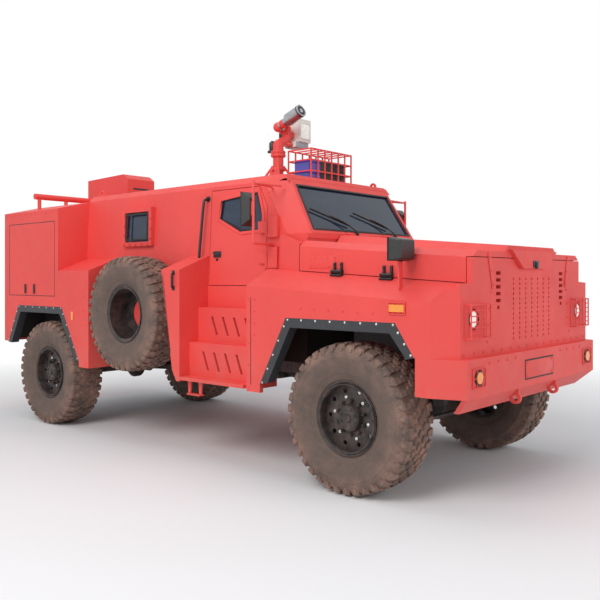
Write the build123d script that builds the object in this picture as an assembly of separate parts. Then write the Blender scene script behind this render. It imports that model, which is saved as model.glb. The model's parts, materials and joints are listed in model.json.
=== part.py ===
"""Armoured four-wheel-drive fire reconnaissance vehicle.

Frame: +X forward, +Y left, +Z up, millimetres. The origin is on the ground
under the centre of the vehicle's box.
"""
import math
import os

from build123d import *

os.makedirs("parts", exist_ok=True)

# Overall sizes
wheelbase = 4273
front_axle_x = 2120
rear_overhang = 942
body_half_width = 1254
roof_edge_z = 2540

# Running gear
tyre_radius = 585
tyre_width = 386
tyre_bead_radius = 264.3
tyre_wall = 28
tyre_crown = 40
rim_flange_radius = 284
rim_barrel_radius = 264
rim_wall = 10
rim_width = 300
rim_lip = 12
rim_disc_setback = 78
rim_disc_thickness = 14
hand_hole_count = 10
hand_hole_radius = 19
hand_hole_pitch_radius = 212
hub_radius = 150
hub_cap_radius = 96
hub_cap_height = 46
spindle_radius = 45
running_gap = 0.3
kingpin_inset = 123
kingpin_radius = 26
knuckle_radius = 58
yoke_half_height = 110
yoke_plate = 34
yoke_reach = 75
steer_arm_length = 225
steer_arm_width = 48
steer_arm_drop = 62
ball_pin_radius = 12
tie_rod_radius = 19
tie_rod_drop = 86
open_pivot_gap = 1
axle_tube_radius = 66
diff_radius = 165
pinion_reach = 290
spring_y = 445
spring_width = 80
spring_half_length = 640
spring_leaf = 13
spring_leaf_count = 5
spring_clamp = 14

# Frame, engine and driveline
rail_y = 445
rail_width = 80
rail_wall = 9
rail_height = 160
rail_above_axle = 185
engine_length = 1050
engine_width = 720
engine_height = 780
engine_rear_x = 1560
engine_above_rail = 60
propshaft_radius = 42
transfer_x = 250

# Body shell
wall = 50
plate = 40
panel_gap = 6
sill_z = 700
shoulder_width = 357
side_foot_z = 1540
side_lean = 0.05
roof_rise = 60
roof_chamfer = 57
shelf_outer_z = 1740
shelf_inner_z = 1880

# Cab front: the corner facets run from the side wall to the windscreen
cowl_z = 2050
ridge_foot_x = 1214
ridge_lean = 0.611
screen_foot_x = 1443
screen_lean = 0.592
screen_corner_width = 82
screen_side_lean = 0.118
glass_foot_rise = 40
glass_head_drop = 40
glass_side_margin = 50
firewall_x = 1440
steering_wheel_radius = 200

# Doors and windows
door_rear_x = 215
door_front_x = 960
door_bottom_rise = 55
door_head_drop = 40
glass_thickness = 24
glass_gap = 0.3
glass_recess = 14
hinge_offset = 32
hinge_z = (1845, 2120)
hinge_stand = 9
hinge_leaf_half = 92
hinge_knuckle_half = 52
hinge_knuckle_radius = 15
hinge_pin_radius = 7
pin_gap = 0.1
small_window_width = 410
small_window_height = 315
small_window_foot_z = 2045
small_window_frame = 45
small_window_stand = 60

# Rear box
rear_box_reach = 263
rear_box_edge_drop = 100
rear_box_crown_inset = 424
rear_skirt_z = 900
rear_door_half_width = 480
rear_door_foot = 40
rear_door_head_drop = 110
rear_hinge_z = (1250, 1670, 2090)
rear_hinge_half = 40
rear_hinge_radius = 13

# Wheel arches, as bevelled openings in the body side, measured from the axles
arch_clearance = 170
arch_table = {  # rear_foot, rear_foot_z, rear_top, front_top, front_foot, front_foot_z
    "rear": (-853, 305, -612, 337, 680, 175),
    "front": (-873, 189, -583, 477, 637, 513),
}
flare_width = 78
flare_depth = 95
housing_inset = 439

# Spare wheel bay and steps
bay_behind = 183
bay_gap = 30
bay_front_lean = 158
spare_z = 1300
spare_proud = 36
carrier_radius = 62
carrier_flange = 180
step_rear_x = 205
step_length = 882
step_table = [  # top_z, outer_y and inner_y as shares of the shoulder's width
    (1385, 0.345, 0.02),
    (1060, 0.653, 0.345),
    (745, 1.0, 0.653),
]
step_tread = 30
step_bracket_drop = 110
slot_count = 4

# Front end
wing_front_x = 2885
wing_outer_ref_z = 1492
crease_ref_z = 1628
crease_inset = 268
top_slope = 0.061
nose_x = 3063
nose_inset = 101
nose_corner_z = 1620
nose_bottom_z = 1100
nose_top_z = 1812
hood_rear_x = 1458
hood_edge_front_z = 1861
hood_edge_slope = 0.0767
hood_chamfer_drop = 52
hood_chamfer_width = 78
bulge_outer_y = 480
bulge_inner_y = 420
bulge_front_height = 52
bulge_rear_height = 66
hood_wall = 30
hood_hinge_y = 300
hood_hinge_rise = 12
hood_mirror_x = 2560
mirror_post_radius = 12
mirror_arm_radius = 9
bumper_x = 3125
bumper_inset = 86
bumper_face_bottom_z = 827
bumper_lip_z = 706
bumper_lip_x = 3000
bumper_rear_x = 2765
louvre_rows = 6
louvre_pitch = 51
louvre_top_z = 1700
louvre_y = 580
grille_columns = 7
grille_rows = 13
grille_pitch_y = 110
grille_pitch_z = 38
grille_foot_z = 1200
grille_hole = 20
headlight_inset = 297
headlight_z = 1371
headlight_radius = 60
turn_lamp_inset = 249
turn_lamp_z = 967
tow_eye_y = 350
tow_eye_x = 3090
tow_eye_z = 748
tow_eye_radius = 46
tow_eye_neck = 60
tow_eye_bore = 24
tow_eye_width = 28

# Roof equipment
lift_eye_x = (960, -1740)
lift_eye_inset = 18
lift_eye_height = 34
lift_eye_radius = 36
lift_eye_bore = 16
lift_eye_width = 20
monitor_x = 300
monitor_pan_rise = 360
monitor_tilt_rise = 280
monitor_pipe_radius = 48
monitor_elbow_y = 126
monitor_flange_y = 72
light_bar_x = 870
light_bar_half_width = 320
light_bar_height = 300
roof_box_length = 860
roof_box_half_width = 205
roof_box_height = 410
roof_box_rear_gap = 195
roof_rail_gap = 435
roof_rail_half_width = 1100
roof_rail_rise = 100
roof_rail_radius = 35

# Places that follow from the sizes above
rear_axle_x = front_axle_x - wheelbase
axle_z = tyre_radius
wheel_outer_y = body_half_width
wheel_mid_y = wheel_outer_y - tyre_width / 2
kingpin_y = wheel_outer_y - tyre_width - kingpin_inset
rail_bottom_z = axle_z + rail_above_axle
rail_top_z = rail_bottom_z + rail_height
body_rear_x = rear_axle_x - rear_overhang
rail_rear_x = body_rear_x + 85
rail_front_x = nose_x - 103
rear_box_front_x = rear_axle_x + rear_box_reach
floor_bottom_z = rail_top_z
floor_top_z = floor_bottom_z + plate
side_foot_y = body_half_width - shoulder_width
tub_half_width = side_foot_y - 27
roof_top_z = roof_edge_z + roof_rise
cowl_plate_z = cowl_z - plate
screen_foot_y = side_foot_y - screen_corner_width
door_bottom_z = side_foot_z + door_bottom_rise
door_top_z = roof_edge_z - door_head_drop
door_hinge_x = door_front_x + hinge_offset
door_hinge_z = hinge_z
hinge_axis_y = side_foot_y + hinge_stand
rear_box_edge_z = roof_edge_z - rear_box_edge_drop
rear_box_crown_z = roof_edge_z
rear_box_crown_y = body_half_width - rear_box_crown_inset
rear_door_bottom_z = floor_top_z + rear_door_foot
rear_door_top_z = rear_box_edge_z - rear_door_head_drop
arch_top_z = 2 * tyre_radius + arch_clearance


def arch(name, axle_x):
    rear_foot, rear_foot_z, rear_top, front_top, front_foot, front_foot_z = arch_table[name]
    return dict(rear_foot_x=axle_x + rear_foot, rear_foot_z=axle_z + rear_foot_z,
                rear_top_x=axle_x + rear_top,
                front_top_x=axle_x + front_top, front_foot_x=axle_x + front_foot,
                front_foot_z=axle_z + front_foot_z, top_z=arch_top_z)


arch_rear = arch("rear", rear_axle_x)
arch_front = arch("front", front_axle_x)
bay_rear_x = arch_rear["front_foot_x"] + bay_behind
spare_x = bay_rear_x + bay_gap + tyre_radius
bay_front_top_x = spare_x + tyre_radius + bay_gap
bay_front_bottom_x = bay_front_top_x + bay_front_lean
spare_outer_y = body_half_width + spare_proud
small_window_rear_x = spare_x - 435
small_window_front_x = small_window_rear_x + small_window_width
small_window_bottom_z = small_window_foot_z
small_window_top_z = small_window_foot_z + small_window_height
step_front_x = step_rear_x + step_length
crease_y = body_half_width - crease_inset
nose_half_width = body_half_width - nose_inset
hood_top_y = crease_y - hood_chamfer_width
bumper_half_width = body_half_width - bumper_inset
bumper_top_z = nose_bottom_z
headlight_y = body_half_width - headlight_inset
turn_lamp_y = body_half_width - turn_lamp_inset
roof_flat_half_width = side_foot_y - side_lean * (roof_edge_z - side_foot_z) - roof_chamfer
lift_eye_y = roof_flat_half_width - lift_eye_inset
monitor_pan_z = roof_top_z + monitor_pan_rise
monitor_tilt_z = monitor_pan_z + monitor_tilt_rise
light_bar_top_z = roof_top_z + light_bar_height
roof_box_rear_x = body_rear_x + roof_box_rear_gap
roof_box_front_x = roof_box_rear_x + roof_box_length
roof_box_top_z = rear_box_crown_z + roof_box_height
roof_rail_x = body_rear_x + roof_rail_gap
roof_rail_z = rear_box_crown_z + roof_rail_rise


def block(x0, x1, y0, y1, z0, z1):
    return Pos((x0 + x1) / 2, (y0 + y1) / 2, (z0 + z1) / 2) * Box(x1 - x0, y1 - y0, z1 - z0)


def prism_x(points_yz, x0, x1):
    return extrude(Plane.YZ.offset(x0) * Polygon(*points_yz, align=None), amount=x1 - x0, dir=(1, 0, 0))


def prism_y(points_xz, y0, y1):
    return extrude(Plane.XZ.offset(-y0) * Polygon(*points_xz, align=None), amount=y1 - y0, dir=(0, 1, 0))


def prism_z(points_xy, z0, z1):
    return extrude(Plane.XY.offset(z0) * Polygon(*points_xy, align=None), amount=z1 - z0, dir=(0, 0, 1))


def rod(start, end, radius):
    start, end = Vector(*start), Vector(*end)
    length = (end - start).length
    return Plane(origin=start, z_dir=end - start) * Cylinder(
        radius, length, align=(Align.CENTER, Align.CENTER, Align.MIN))


def turned(profile, x, y, z):
    """Solid of revolution about the Y direction; profile points are (radius, across)."""
    return Pos(x, y, z) * revolve(Plane.XY * Polygon(*profile, align=None), axis=Axis.Y)


def other_side(shape):
    return mirror(shape, about=Plane.XZ)


def both_sides(shape):
    return [shape, other_side(shape)]


def ruled(sections):
    """Straight-sided solid through polygons, each given as 3-D points."""
    return loft([make_face(Polyline(*points, close=True)) for points in sections], ruled=True)


def save(name, *shapes):
    solids = []
    for shape in shapes:
        solids.extend(shape.solids())
    body = solids[0] if len(solids) == 1 else Compound(children=solids)
    export_step(body, f"parts/{name}.step")


def side_y(z):
    return side_foot_y - side_lean * (z - side_foot_z)


def ridge_x(z):
    return ridge_foot_x - ridge_lean * (z - cowl_z)


def screen_x(z):
    return screen_foot_x - screen_lean * (z - cowl_z)


def screen_y(z):
    return screen_foot_y - screen_side_lean * (z - cowl_z)


def crease_z(x):
    return crease_ref_z + top_slope * (nose_x - x)


def wing_outer_z(x):
    return wing_outer_ref_z + top_slope * (nose_x - 223 - x)


def hood_edge_z(x):
    return hood_edge_front_z + hood_edge_slope * (nose_x - x)


# Wheels

def rim(x, y_mid, z, outward):
    half = rim_width / 2
    disc_out = half - rim_disc_setback
    disc_in = disc_out - rim_disc_thickness
    barrel_inner = rim_barrel_radius - rim_wall
    profile = [
        (rim_flange_radius, half), (rim_flange_radius, half - 12), (rim_barrel_radius, half - 22),
        (rim_barrel_radius, -half + 22), (rim_flange_radius, -half + 12), (rim_flange_radius, -half),
        (barrel_inner, -half + 14), (barrel_inner, disc_in), (hub_radius, disc_in),
        (hub_radius, -half + 30), (spindle_radius + running_gap, -half + 30),
        (spindle_radius + running_gap, disc_out - 12), (0, disc_out - 12), (0, disc_out + hub_cap_height),
        (hub_cap_radius, disc_out + hub_cap_height), (hub_cap_radius + 14, disc_out),
               (barrel_inner, disc_out),
        (barrel_inner, half - 14),
    ]
    wheel = revolve(Plane.XY * Polygon(*profile, align=None), axis=Axis.Y)
    hole = Rot(90, 0, 0) * Cylinder(hand_hole_radius, 60)
    for index in range(hand_hole_count):
        angle = 2 * math.pi * index / hand_hole_count
        wheel -= Pos(hand_hole_pitch_radius * math.cos(angle), disc_in,
                     hand_hole_pitch_radius * math.sin(angle)) * hole
    if outward < 0:
        wheel = other_side(wheel)
    return Pos(x, outward * y_mid, z) * wheel


def tyre(x, y_mid, z, side):
    half = tyre_width / 2
    bead = rim_width / 2 - 23
    bulge = (rim_flange_radius + tyre_radius) / 2
    shoulder = tyre_radius - 37
    lining = tyre_radius - tyre_crown
    profile = [
        (tyre_bead_radius, bead), (rim_flange_radius + 1, bead + 9), (bulge, half), (shoulder, half - 10),
        (tyre_radius, half - 36), (tyre_radius, -half + 36), (shoulder, -half + 10), (bulge, -half),
        (rim_flange_radius + 1, -bead - 9), (tyre_bead_radius, -bead),
        (tyre_bead_radius, -bead + 25), (bulge, -half + tyre_wall), (lining, -half + 48),
        (lining, half - 48), (bulge, half - tyre_wall), (tyre_bead_radius, bead - 25),
    ]
    return turned(profile, x, side * y_mid, z)


wheel_places = [  # name, x, side
    ("front_right", front_axle_x, -1),
    ("front_left", front_axle_x, 1),
    ("rear_right", rear_axle_x, -1),
    ("rear_left", rear_axle_x, 1),
]
for name, x, side in wheel_places:
    save(f"rim_{name}", rim(x, wheel_mid_y, axle_z, side))
    save(f"tyre_{name}", tyre(x, wheel_mid_y, axle_z, side))

spare_mid_y = spare_outer_y - tyre_width / 2
spare_tyre = tyre(spare_x, spare_mid_y, spare_z, -1)
save("spare_tyre", spare_tyre)


def plain_rim(x, y_mid, z):
    half = rim_width / 2
    inner = rim_barrel_radius - rim_wall
    profile = [
        (rim_flange_radius, half), (rim_flange_radius, half - 12), (rim_barrel_radius, half - 22),
        (rim_barrel_radius, -half + 22), (rim_flange_radius, -half + 12), (rim_flange_radius, -half),
        (inner, -half + 14), (inner, -half + 60), (hub_radius, -half + 60), (hub_radius, -half + 74),
        (inner, -half + 74), (inner, half - 14),
    ]
    return Pos(x, -y_mid, z) * other_side(revolve(Plane.XY * Polygon(*profile, align=None), axis=Axis.Y))


save("spare_rim", plain_rim(spare_x, spare_mid_y, spare_z))

carrier_plate_y = spare_mid_y - rim_width / 2 + 60
carrier = rod((spare_x, -tub_half_width, spare_z), (spare_x, -carrier_plate_y + 0.3, spare_z), 62)
carrier += rod((spare_x, -carrier_plate_y + 0.3, spare_z), (spare_x, -carrier_plate_y + 18, spare_z),
               hub_radius + 30)
carrier += rod((spare_x, -tub_half_width, spare_z), (spare_x, -tub_half_width - 16, spare_z), hub_radius + 30)
save("spare_carrier", carrier)

# Axles, knuckles and springs

spindle_end_y = wheel_mid_y + rim_width / 2 - rim_disc_setback - 14
spindle_root_y = wheel_mid_y - rim_width / 2 - 10


def axle_beam(x, half_length, pinion_direction):
    beam = rod((x, -half_length, axle_z), (x, half_length, axle_z), axle_tube_radius)
    bowl = turned([(0, -95), (95, -95), (diff_radius, -30), (diff_radius, 30), (95, 95), (0, 95)],
                  x, 0, axle_z)
    pinion = rod((x, 0, axle_z), (x + pinion_direction * pinion_reach, 0, axle_z), 70)
    beam = beam + bowl + pinion
    for side in (-1, 1):
        pad = block(x - 70, x + 70, side * spring_y - 50, side * spring_y + 50,
                    axle_z, axle_z + axle_tube_radius + spring_clamp)
        beam += pad
    return beam


front_axle = axle_beam(front_axle_x, kingpin_y - yoke_reach - 15, -1)
for side in (-1, 1):
    yoke = block(front_axle_x - 60, front_axle_x + 60, kingpin_y - yoke_reach - 30, kingpin_y - yoke_reach,
                 axle_z - yoke_half_height - yoke_plate, axle_z + yoke_half_height + yoke_plate)
    for level in (-1, 1):
        z_in = axle_z + level * yoke_half_height
        z_out = axle_z + level * (yoke_half_height + yoke_plate)
        yoke += block(front_axle_x - 60, front_axle_x + 60, kingpin_y - yoke_reach - 30, kingpin_y,
                      min(z_in, z_out), max(z_in, z_out))
        yoke += rod((front_axle_x, kingpin_y, z_in), (front_axle_x, kingpin_y, z_out), 60)
    yoke -= rod((front_axle_x, kingpin_y, axle_z - 300), (front_axle_x, kingpin_y, axle_z + 300),
                kingpin_radius + running_gap)
    front_axle += yoke if side > 0 else other_side(yoke)
save("front_axle", front_axle)

rear_axle = axle_beam(rear_axle_x, spindle_root_y - 20, 1)
for side in (-1, 1):
    rear_axle += rod((rear_axle_x, side * (spindle_root_y - 60), axle_z),
                     (rear_axle_x, side * spindle_end_y, axle_z), spindle_radius)
    rear_axle += rod((rear_axle_x, side * (spindle_root_y - 40), axle_z),
                     (rear_axle_x, side * spindle_root_y, axle_z), 150)
save("rear_axle", rear_axle)


def knuckle():
    """Left-hand steering knuckle with its kingpin, spindle and forward arm."""
    barrel_half = yoke_half_height - 0.6
    pin_half = yoke_half_height + yoke_plate
    body = rod((front_axle_x, kingpin_y, axle_z - barrel_half),
               (front_axle_x, kingpin_y, axle_z + barrel_half),
               knuckle_radius)
    body += rod((front_axle_x, kingpin_y, axle_z - pin_half), (front_axle_x, kingpin_y, axle_z + pin_half),
                kingpin_radius)
    body += rod((front_axle_x, kingpin_y, axle_z), (front_axle_x, spindle_end_y, axle_z), spindle_radius)
    body += rod((front_axle_x, kingpin_y + 40, axle_z), (front_axle_x, spindle_root_y, axle_z), 105)
    arm = prism_z([(front_axle_x, kingpin_y - steer_arm_width / 2),
                   (front_axle_x, kingpin_y + steer_arm_width / 2),
                   (tie_rod_x, kingpin_y + steer_arm_width / 2),
                   (tie_rod_x, kingpin_y - steer_arm_width / 2)],
                  axle_z - steer_arm_drop, axle_z - steer_arm_drop + 26)
    arm += rod((tie_rod_x, kingpin_y, axle_z - steer_arm_drop),
               (tie_rod_x, kingpin_y, axle_z - steer_arm_drop + 26),
               30)
    body += arm
    body += rod((tie_rod_x, kingpin_y, axle_z - tie_rod_drop - 19), (tie_rod_x, kingpin_y, axle_z - 50),
                ball_pin_radius)
    return body


tie_rod_z = axle_z - tie_rod_drop
tie_rod_x = front_axle_x + steer_arm_length
left_knuckle = knuckle()
save("knuckle_left", left_knuckle)
save("knuckle_right", other_side(left_knuckle))

tie_rod = rod((tie_rod_x, -kingpin_y + 30, tie_rod_z), (tie_rod_x, kingpin_y - 30, tie_rod_z), tie_rod_radius)
for side, gap in ((1, 0.05), (-1, open_pivot_gap)):
    top, bottom = tie_rod_z + 19, tie_rod_z - 19
    tie_rod += rod((tie_rod_x, side * kingpin_y, bottom), (tie_rod_x, side * kingpin_y, top), 34)
    tie_rod -= rod((tie_rod_x, side * kingpin_y, bottom - 1), (tie_rod_x, side * kingpin_y, top + 1),
                   ball_pin_radius + gap)
save("tie_rod", tie_rod)

spring_seat_z = axle_z + axle_tube_radius + spring_clamp
spring_eye_z = spring_seat_z + spring_leaf * spring_leaf_count - 10


def leaf_pack(x):
    """Stack of leaves, longest on top, each a shallow arc, with its clamp and hangers."""
    pack = None
    rise = spring_eye_z - (spring_seat_z + spring_leaf * (spring_leaf_count - 1))
    radius = (spring_half_length ** 2 + rise ** 2) / (2 * rise)
    for index in range(spring_leaf_count):
        half = spring_half_length * (1 - 0.17 * index)
        bottom = spring_seat_z + spring_leaf * (spring_leaf_count - 1 - index)
        lift = radius - math.sqrt(radius ** 2 - half ** 2)
        edges = [
            ThreePointArc((x - half, bottom + lift), (x, bottom), (x + half, bottom + lift)),
            Line((x + half, bottom + lift), (x + half, bottom + lift + spring_leaf)),
            ThreePointArc((x + half, bottom + lift + spring_leaf), (x, bottom + spring_leaf),
                          (x - half, bottom + lift + spring_leaf)),
            Line((x - half, bottom + lift + spring_leaf), (x - half, bottom + lift)),
        ]
        leaf = extrude(Plane.XZ.offset(-(spring_y - spring_width / 2)) * make_face(edges),
                       amount=spring_width, dir=(0, 1, 0))
        pack = leaf if pack is None else pack + leaf
    for end in (-1, 1):
        eye_x = x + end * spring_half_length
        pack += rod((eye_x, spring_y - 40, spring_eye_z + 14), (eye_x, spring_y + 40, spring_eye_z + 14), 24)
        pack += block(eye_x - 22, eye_x + 22, spring_y - 40, spring_y + 40, spring_eye_z + 14,
                      rail_bottom_z)
    pack += block(x - 60, x + 60, spring_y - 44, spring_y + 44, spring_seat_z,
                  spring_seat_z + spring_leaf * spring_leaf_count + spring_clamp)
    return pack


save("leaf_springs", *both_sides(leaf_pack(front_axle_x)), *both_sides(leaf_pack(rear_axle_x)))

# Chassis frame and driveline

rail = prism_x([(rail_y + rail_width / 2, rail_bottom_z), (rail_y + rail_width / 2, rail_top_z),
                (rail_y - rail_width / 2, rail_top_z),
                (rail_y - rail_width / 2, rail_top_z - rail_wall),
                (rail_y + rail_width / 2 - rail_wall, rail_top_z - rail_wall),
                (rail_y + rail_width / 2 - rail_wall, rail_bottom_z + rail_wall),
                (rail_y - rail_width / 2, rail_bottom_z + rail_wall),
                (rail_y - rail_width / 2, rail_bottom_z)], rail_rear_x, rail_front_x)
frame = rail + other_side(rail)
cross_member_x = [rail_rear_x + 50, arch_rear["front_foot_x"] - 27, spare_x + 175, transfer_x + 390,
                  rail_front_x - 55]
for x in cross_member_x:
    reach = rail_y + rail_width / 2 - rail_wall
    frame += block(x - 45, x + 45, -reach, reach, rail_bottom_z + 20, rail_top_z - 20)
save("chassis_frame", frame)

engine_foot_z = rail_bottom_z + engine_above_rail
engine = block(engine_rear_x, engine_rear_x + engine_length, -engine_width / 2, engine_width / 2,
               engine_foot_z, engine_foot_z + engine_height)
save("engine_block", engine)

shaft_gap = 4
front_shaft_z = axle_z + 105
input_shaft_z = axle_z + 163
transfer = block(transfer_x - 210, transfer_x + 210, -170, 170, axle_z + 55, rail_top_z - 50)
transfer += block(transfer_x - 60, transfer_x + 60, -rail_y - 31, rail_y + 31, rail_bottom_z + 30,
                  rail_top_z - 70)
for end_x, direction in ((front_axle_x, 1), (rear_axle_x, -1)):
    transfer += rod((transfer_x + direction * 200, 0, front_shaft_z),
                    (end_x - direction * (pinion_reach + shaft_gap), 0, axle_z), propshaft_radius)
transfer += rod((transfer_x + 200, 0, input_shaft_z), (engine_rear_x - 780, 0, input_shaft_z), 38)
transfer += block(engine_rear_x - 800, engine_rear_x, -150, 150, input_shaft_z - 13, rail_top_z - 5)
save("driveline", transfer)

# Floor, wheel housings and firewall

floor = block(body_rear_x + wall, firewall_x, -tub_half_width, tub_half_width,
              floor_bottom_z, floor_top_z)
housing_y = body_half_width - housing_inset
housing_notch = block(arch_rear["rear_foot_x"] - plate, arch_rear["front_foot_x"] + plate,
                      housing_y, body_half_width, floor_bottom_z - 1, floor_top_z + 1)
floor = floor - housing_notch - other_side(housing_notch)
firewall = block(firewall_x - plate, firewall_x, -tub_half_width, tub_half_width, floor_top_z, side_foot_z)


# Cab side walls, one cross-section carried along the body

firewall_half = side_y(side_foot_z) - wall
firewall_top_half = side_y(cowl_plate_z) - wall
firewall += prism_x([(-firewall_half, side_foot_z), (firewall_half, side_foot_z),
                     (firewall_top_half, cowl_plate_z), (-firewall_top_half, cowl_plate_z)],
                    firewall_x - plate, firewall_x)
save("floor", floor + firewall)


def side_wall_face(y_offset=0.0, z0=side_foot_z, z1=roof_edge_z):
    return [(side_y(z0) - y_offset, z0), (side_y(z1) - y_offset, z1),
            (side_y(z1) - wall, z1), (side_y(z0) - wall, z0)]


side_outline = [
    (rear_box_front_x, side_foot_z), (firewall_x, side_foot_z), (firewall_x, cowl_plate_z),
    (ridge_x(cowl_plate_z), cowl_plate_z), (ridge_x(roof_edge_z), roof_edge_z),
    (rear_box_front_x, roof_edge_z),
]
door_outline = [
    (door_rear_x, door_bottom_z), (door_front_x - 80, door_bottom_z),
    (door_front_x, door_bottom_z + 80), (door_front_x, door_top_z - 190),
    (door_front_x - 105, door_top_z), (door_rear_x, door_top_z),
]
door_glass_outline = [  # the sill steps up behind the middle of the door
    (door_rear_x + 133, door_top_z - 84), (door_front_x - 118, door_top_z - 42),
    (door_front_x - 67, door_top_z - 259), (door_front_x - 67, door_bottom_z + 495),
    ((door_rear_x + door_front_x) / 2 + 33, door_bottom_z + 495), (door_rear_x + 133, door_bottom_z + 631),
]
small_window_outline = [
    (small_window_rear_x, small_window_bottom_z), (small_window_front_x, small_window_bottom_z),
    (small_window_front_x, small_window_top_z), (small_window_rear_x, small_window_top_z),
]


def grow(outline, amount):
    """The convex or concave outline with every edge moved out by amount."""
    count = len(outline)
    area = sum(outline[i][0] * outline[(i + 1) % count][1] - outline[(i + 1) % count][0] * outline[i][1]
               for i in range(count))
    turn = 1 if area > 0 else -1
    lines = []
    for i in range(count):
        (x0, z0), (x1, z1) = outline[i], outline[(i + 1) % count]
        length = math.hypot(x1 - x0, z1 - z0)
        nx, nz = turn * (z1 - z0) / length, -turn * (x1 - x0) / length
        lines.append((nx, nz, nx * x0 + nz * z0 + amount))
    grown = []
    for i in range(count):
        a0, b0, c0 = lines[i - 1]
        a1, b1, c1 = lines[i]
        det = a0 * b1 - a1 * b0
        grown.append(((c0 * b1 - c1 * b0) / det, (a0 * c1 - a1 * c0) / det))
    return grown


def outline_prism(outline, amount, y0, y1):
    return prism_y(grow(outline, amount) if amount else outline, y0, y1)


def hinge_leaf(z, x0, x1, half):
    """Plate that lies on the leaning side wall."""
    return prism_x([(side_y(z - half), z - half), (side_y(z + half), z + half),
                    (hinge_axis_y + 3, z + half), (hinge_axis_y + 3, z - half)], x0, x1)


wall_strip = prism_x(side_wall_face(), rear_box_front_x, firewall_x)
wall_outside = prism_x([(side_y(side_foot_z), side_foot_z), (side_y(roof_edge_z), roof_edge_z),
                        (body_half_width, roof_edge_z), (body_half_width, side_foot_z)], rear_box_front_x,
                       firewall_x)
left_wall = wall_strip & prism_y(side_outline, 0, body_half_width)
left_wall -= outline_prism(door_outline, panel_gap, 0, body_half_width)
left_wall -= outline_prism(small_window_outline, 0, 0, body_half_width)
for z in door_hinge_z:
    left_wall += hinge_leaf(z, door_hinge_x + hinge_knuckle_radius + 4, door_hinge_x + 130, hinge_leaf_half)
    for level in (-1, 1):
        near, far = z + level * (hinge_knuckle_half + 1), z + level * hinge_leaf_half
        left_wall += rod((door_hinge_x, hinge_axis_y, near), (door_hinge_x, hinge_axis_y, far),
                         hinge_knuckle_radius)
        left_wall += (hinge_leaf((near + far) / 2, door_hinge_x, door_hinge_x + 40, abs(far - near) / 2))
    left_wall += rod((door_hinge_x, hinge_axis_y, z - hinge_leaf_half),
                     (door_hinge_x, hinge_axis_y, z + hinge_leaf_half), hinge_pin_radius)
window_frame = outline_prism(small_window_outline, small_window_frame, 0,
                             side_y(small_window_top_z) + small_window_stand)
window_frame -= outline_prism(small_window_outline, 0, 0, body_half_width)
window_frame = window_frame & wall_outside
left_wall += window_frame
save("cab_side_left", left_wall)
save("cab_side_right", other_side(left_wall))

left_door = prism_x(side_wall_face(z0=door_bottom_z, z1=door_top_z), door_rear_x, door_front_x)
left_door = left_door & prism_y(door_outline, 0, body_half_width)
left_door -= outline_prism(door_glass_outline, 0, 0, body_half_width)
for z in door_hinge_z:
    left_door += hinge_leaf(z, door_front_x - 70, door_hinge_x, hinge_knuckle_half)
    left_door += rod((door_hinge_x, hinge_axis_y, z - hinge_knuckle_half),
                     (door_hinge_x, hinge_axis_y, z + hinge_knuckle_half), hinge_knuckle_radius)
    left_door -= rod((door_hinge_x, hinge_axis_y, z - hinge_leaf_half),
                     (door_hinge_x, hinge_axis_y, z + hinge_leaf_half), hinge_pin_radius + pin_gap)
save("door_left", left_door)
save("door_right", other_side(left_door))


def glass_pane(outline, recess):
    outer_foot, outer_head = side_y(side_foot_z) - recess, side_y(roof_edge_z) - recess
    pane = prism_x([(outer_foot, side_foot_z), (outer_head, roof_edge_z),
                    (outer_head - glass_thickness, roof_edge_z), (outer_foot - glass_thickness, side_foot_z)],
                   rear_box_front_x, firewall_x)
    return pane & outline_prism(outline, -glass_gap, 0, body_half_width)


door_glass = glass_pane(door_glass_outline, glass_recess)
save("door_glass_left", door_glass)
save("door_glass_right", other_side(door_glass))


# Roof, windscreen frame and glass share one faceted envelope

def envelope(z0, z1, inset, rear_x):
    sections = []
    for z in (z0, z1):
        corner_inset = inset * 0.6
        sections.append([
            (rear_x, -side_y(z) + inset, z), (ridge_x(z) - corner_inset, -side_y(z) + inset, z),
            (screen_x(z) - inset * 1.16, -screen_y(z) + corner_inset, z),
            (screen_x(z) - inset * 1.16, screen_y(z) - corner_inset, z),
            (ridge_x(z) - corner_inset, side_y(z) - inset, z), (rear_x, side_y(z) - inset, z),
        ])
    return ruled(sections)


roof_section = [(-side_y(roof_edge_z), roof_edge_z), (-roof_flat_half_width, roof_top_z),
                (roof_flat_half_width, roof_top_z), (side_y(roof_edge_z), roof_edge_z),
                (side_y(roof_edge_z) - wall, roof_edge_z),
                (roof_flat_half_width - 15, roof_top_z - plate),
                (-roof_flat_half_width + 15, roof_top_z - plate),
                (-side_y(roof_edge_z) + wall, roof_edge_z)]
roof = prism_x(roof_section, rear_box_front_x, screen_foot_x)
roof = roof & envelope(roof_edge_z - 1, roof_top_z + 50, 0, rear_box_front_x - 50)
lift_eye_z = roof_top_z + lift_eye_height
for x in lift_eye_x:
    for side in (-1, 1):
        y = side * lift_eye_y
        near, far = y - lift_eye_width / 2, y + lift_eye_width / 2
        lug = prism_y([(x - 55, roof_top_z), (x + 55, roof_top_z), (x + lift_eye_radius, lift_eye_z),
                       (x - lift_eye_radius, lift_eye_z)], near, far)
        lug += rod((x, near, lift_eye_z), (x, far, lift_eye_z), lift_eye_radius)
        roof += lug - rod((x, near - 1, lift_eye_z), (x, far + 1, lift_eye_z), lift_eye_bore)
save("roof", roof)

screen_frame = envelope(cowl_z, roof_edge_z, 0, 0) - envelope(cowl_z - 1, roof_edge_z + 1, wall, -10)
screen_frame = screen_frame & prism_y(
    [(ridge_x(cowl_z), cowl_z), (ridge_x(roof_edge_z), roof_edge_z), (hood_rear_x, roof_edge_z),
     (hood_rear_x, cowl_z)], -body_half_width, body_half_width)
glass_foot_z = cowl_z + glass_foot_rise
glass_head_z = roof_edge_z - glass_head_drop
hood_hinge_z = hood_edge_z(hood_rear_x) + bulge_rear_height + hood_hinge_rise


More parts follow.
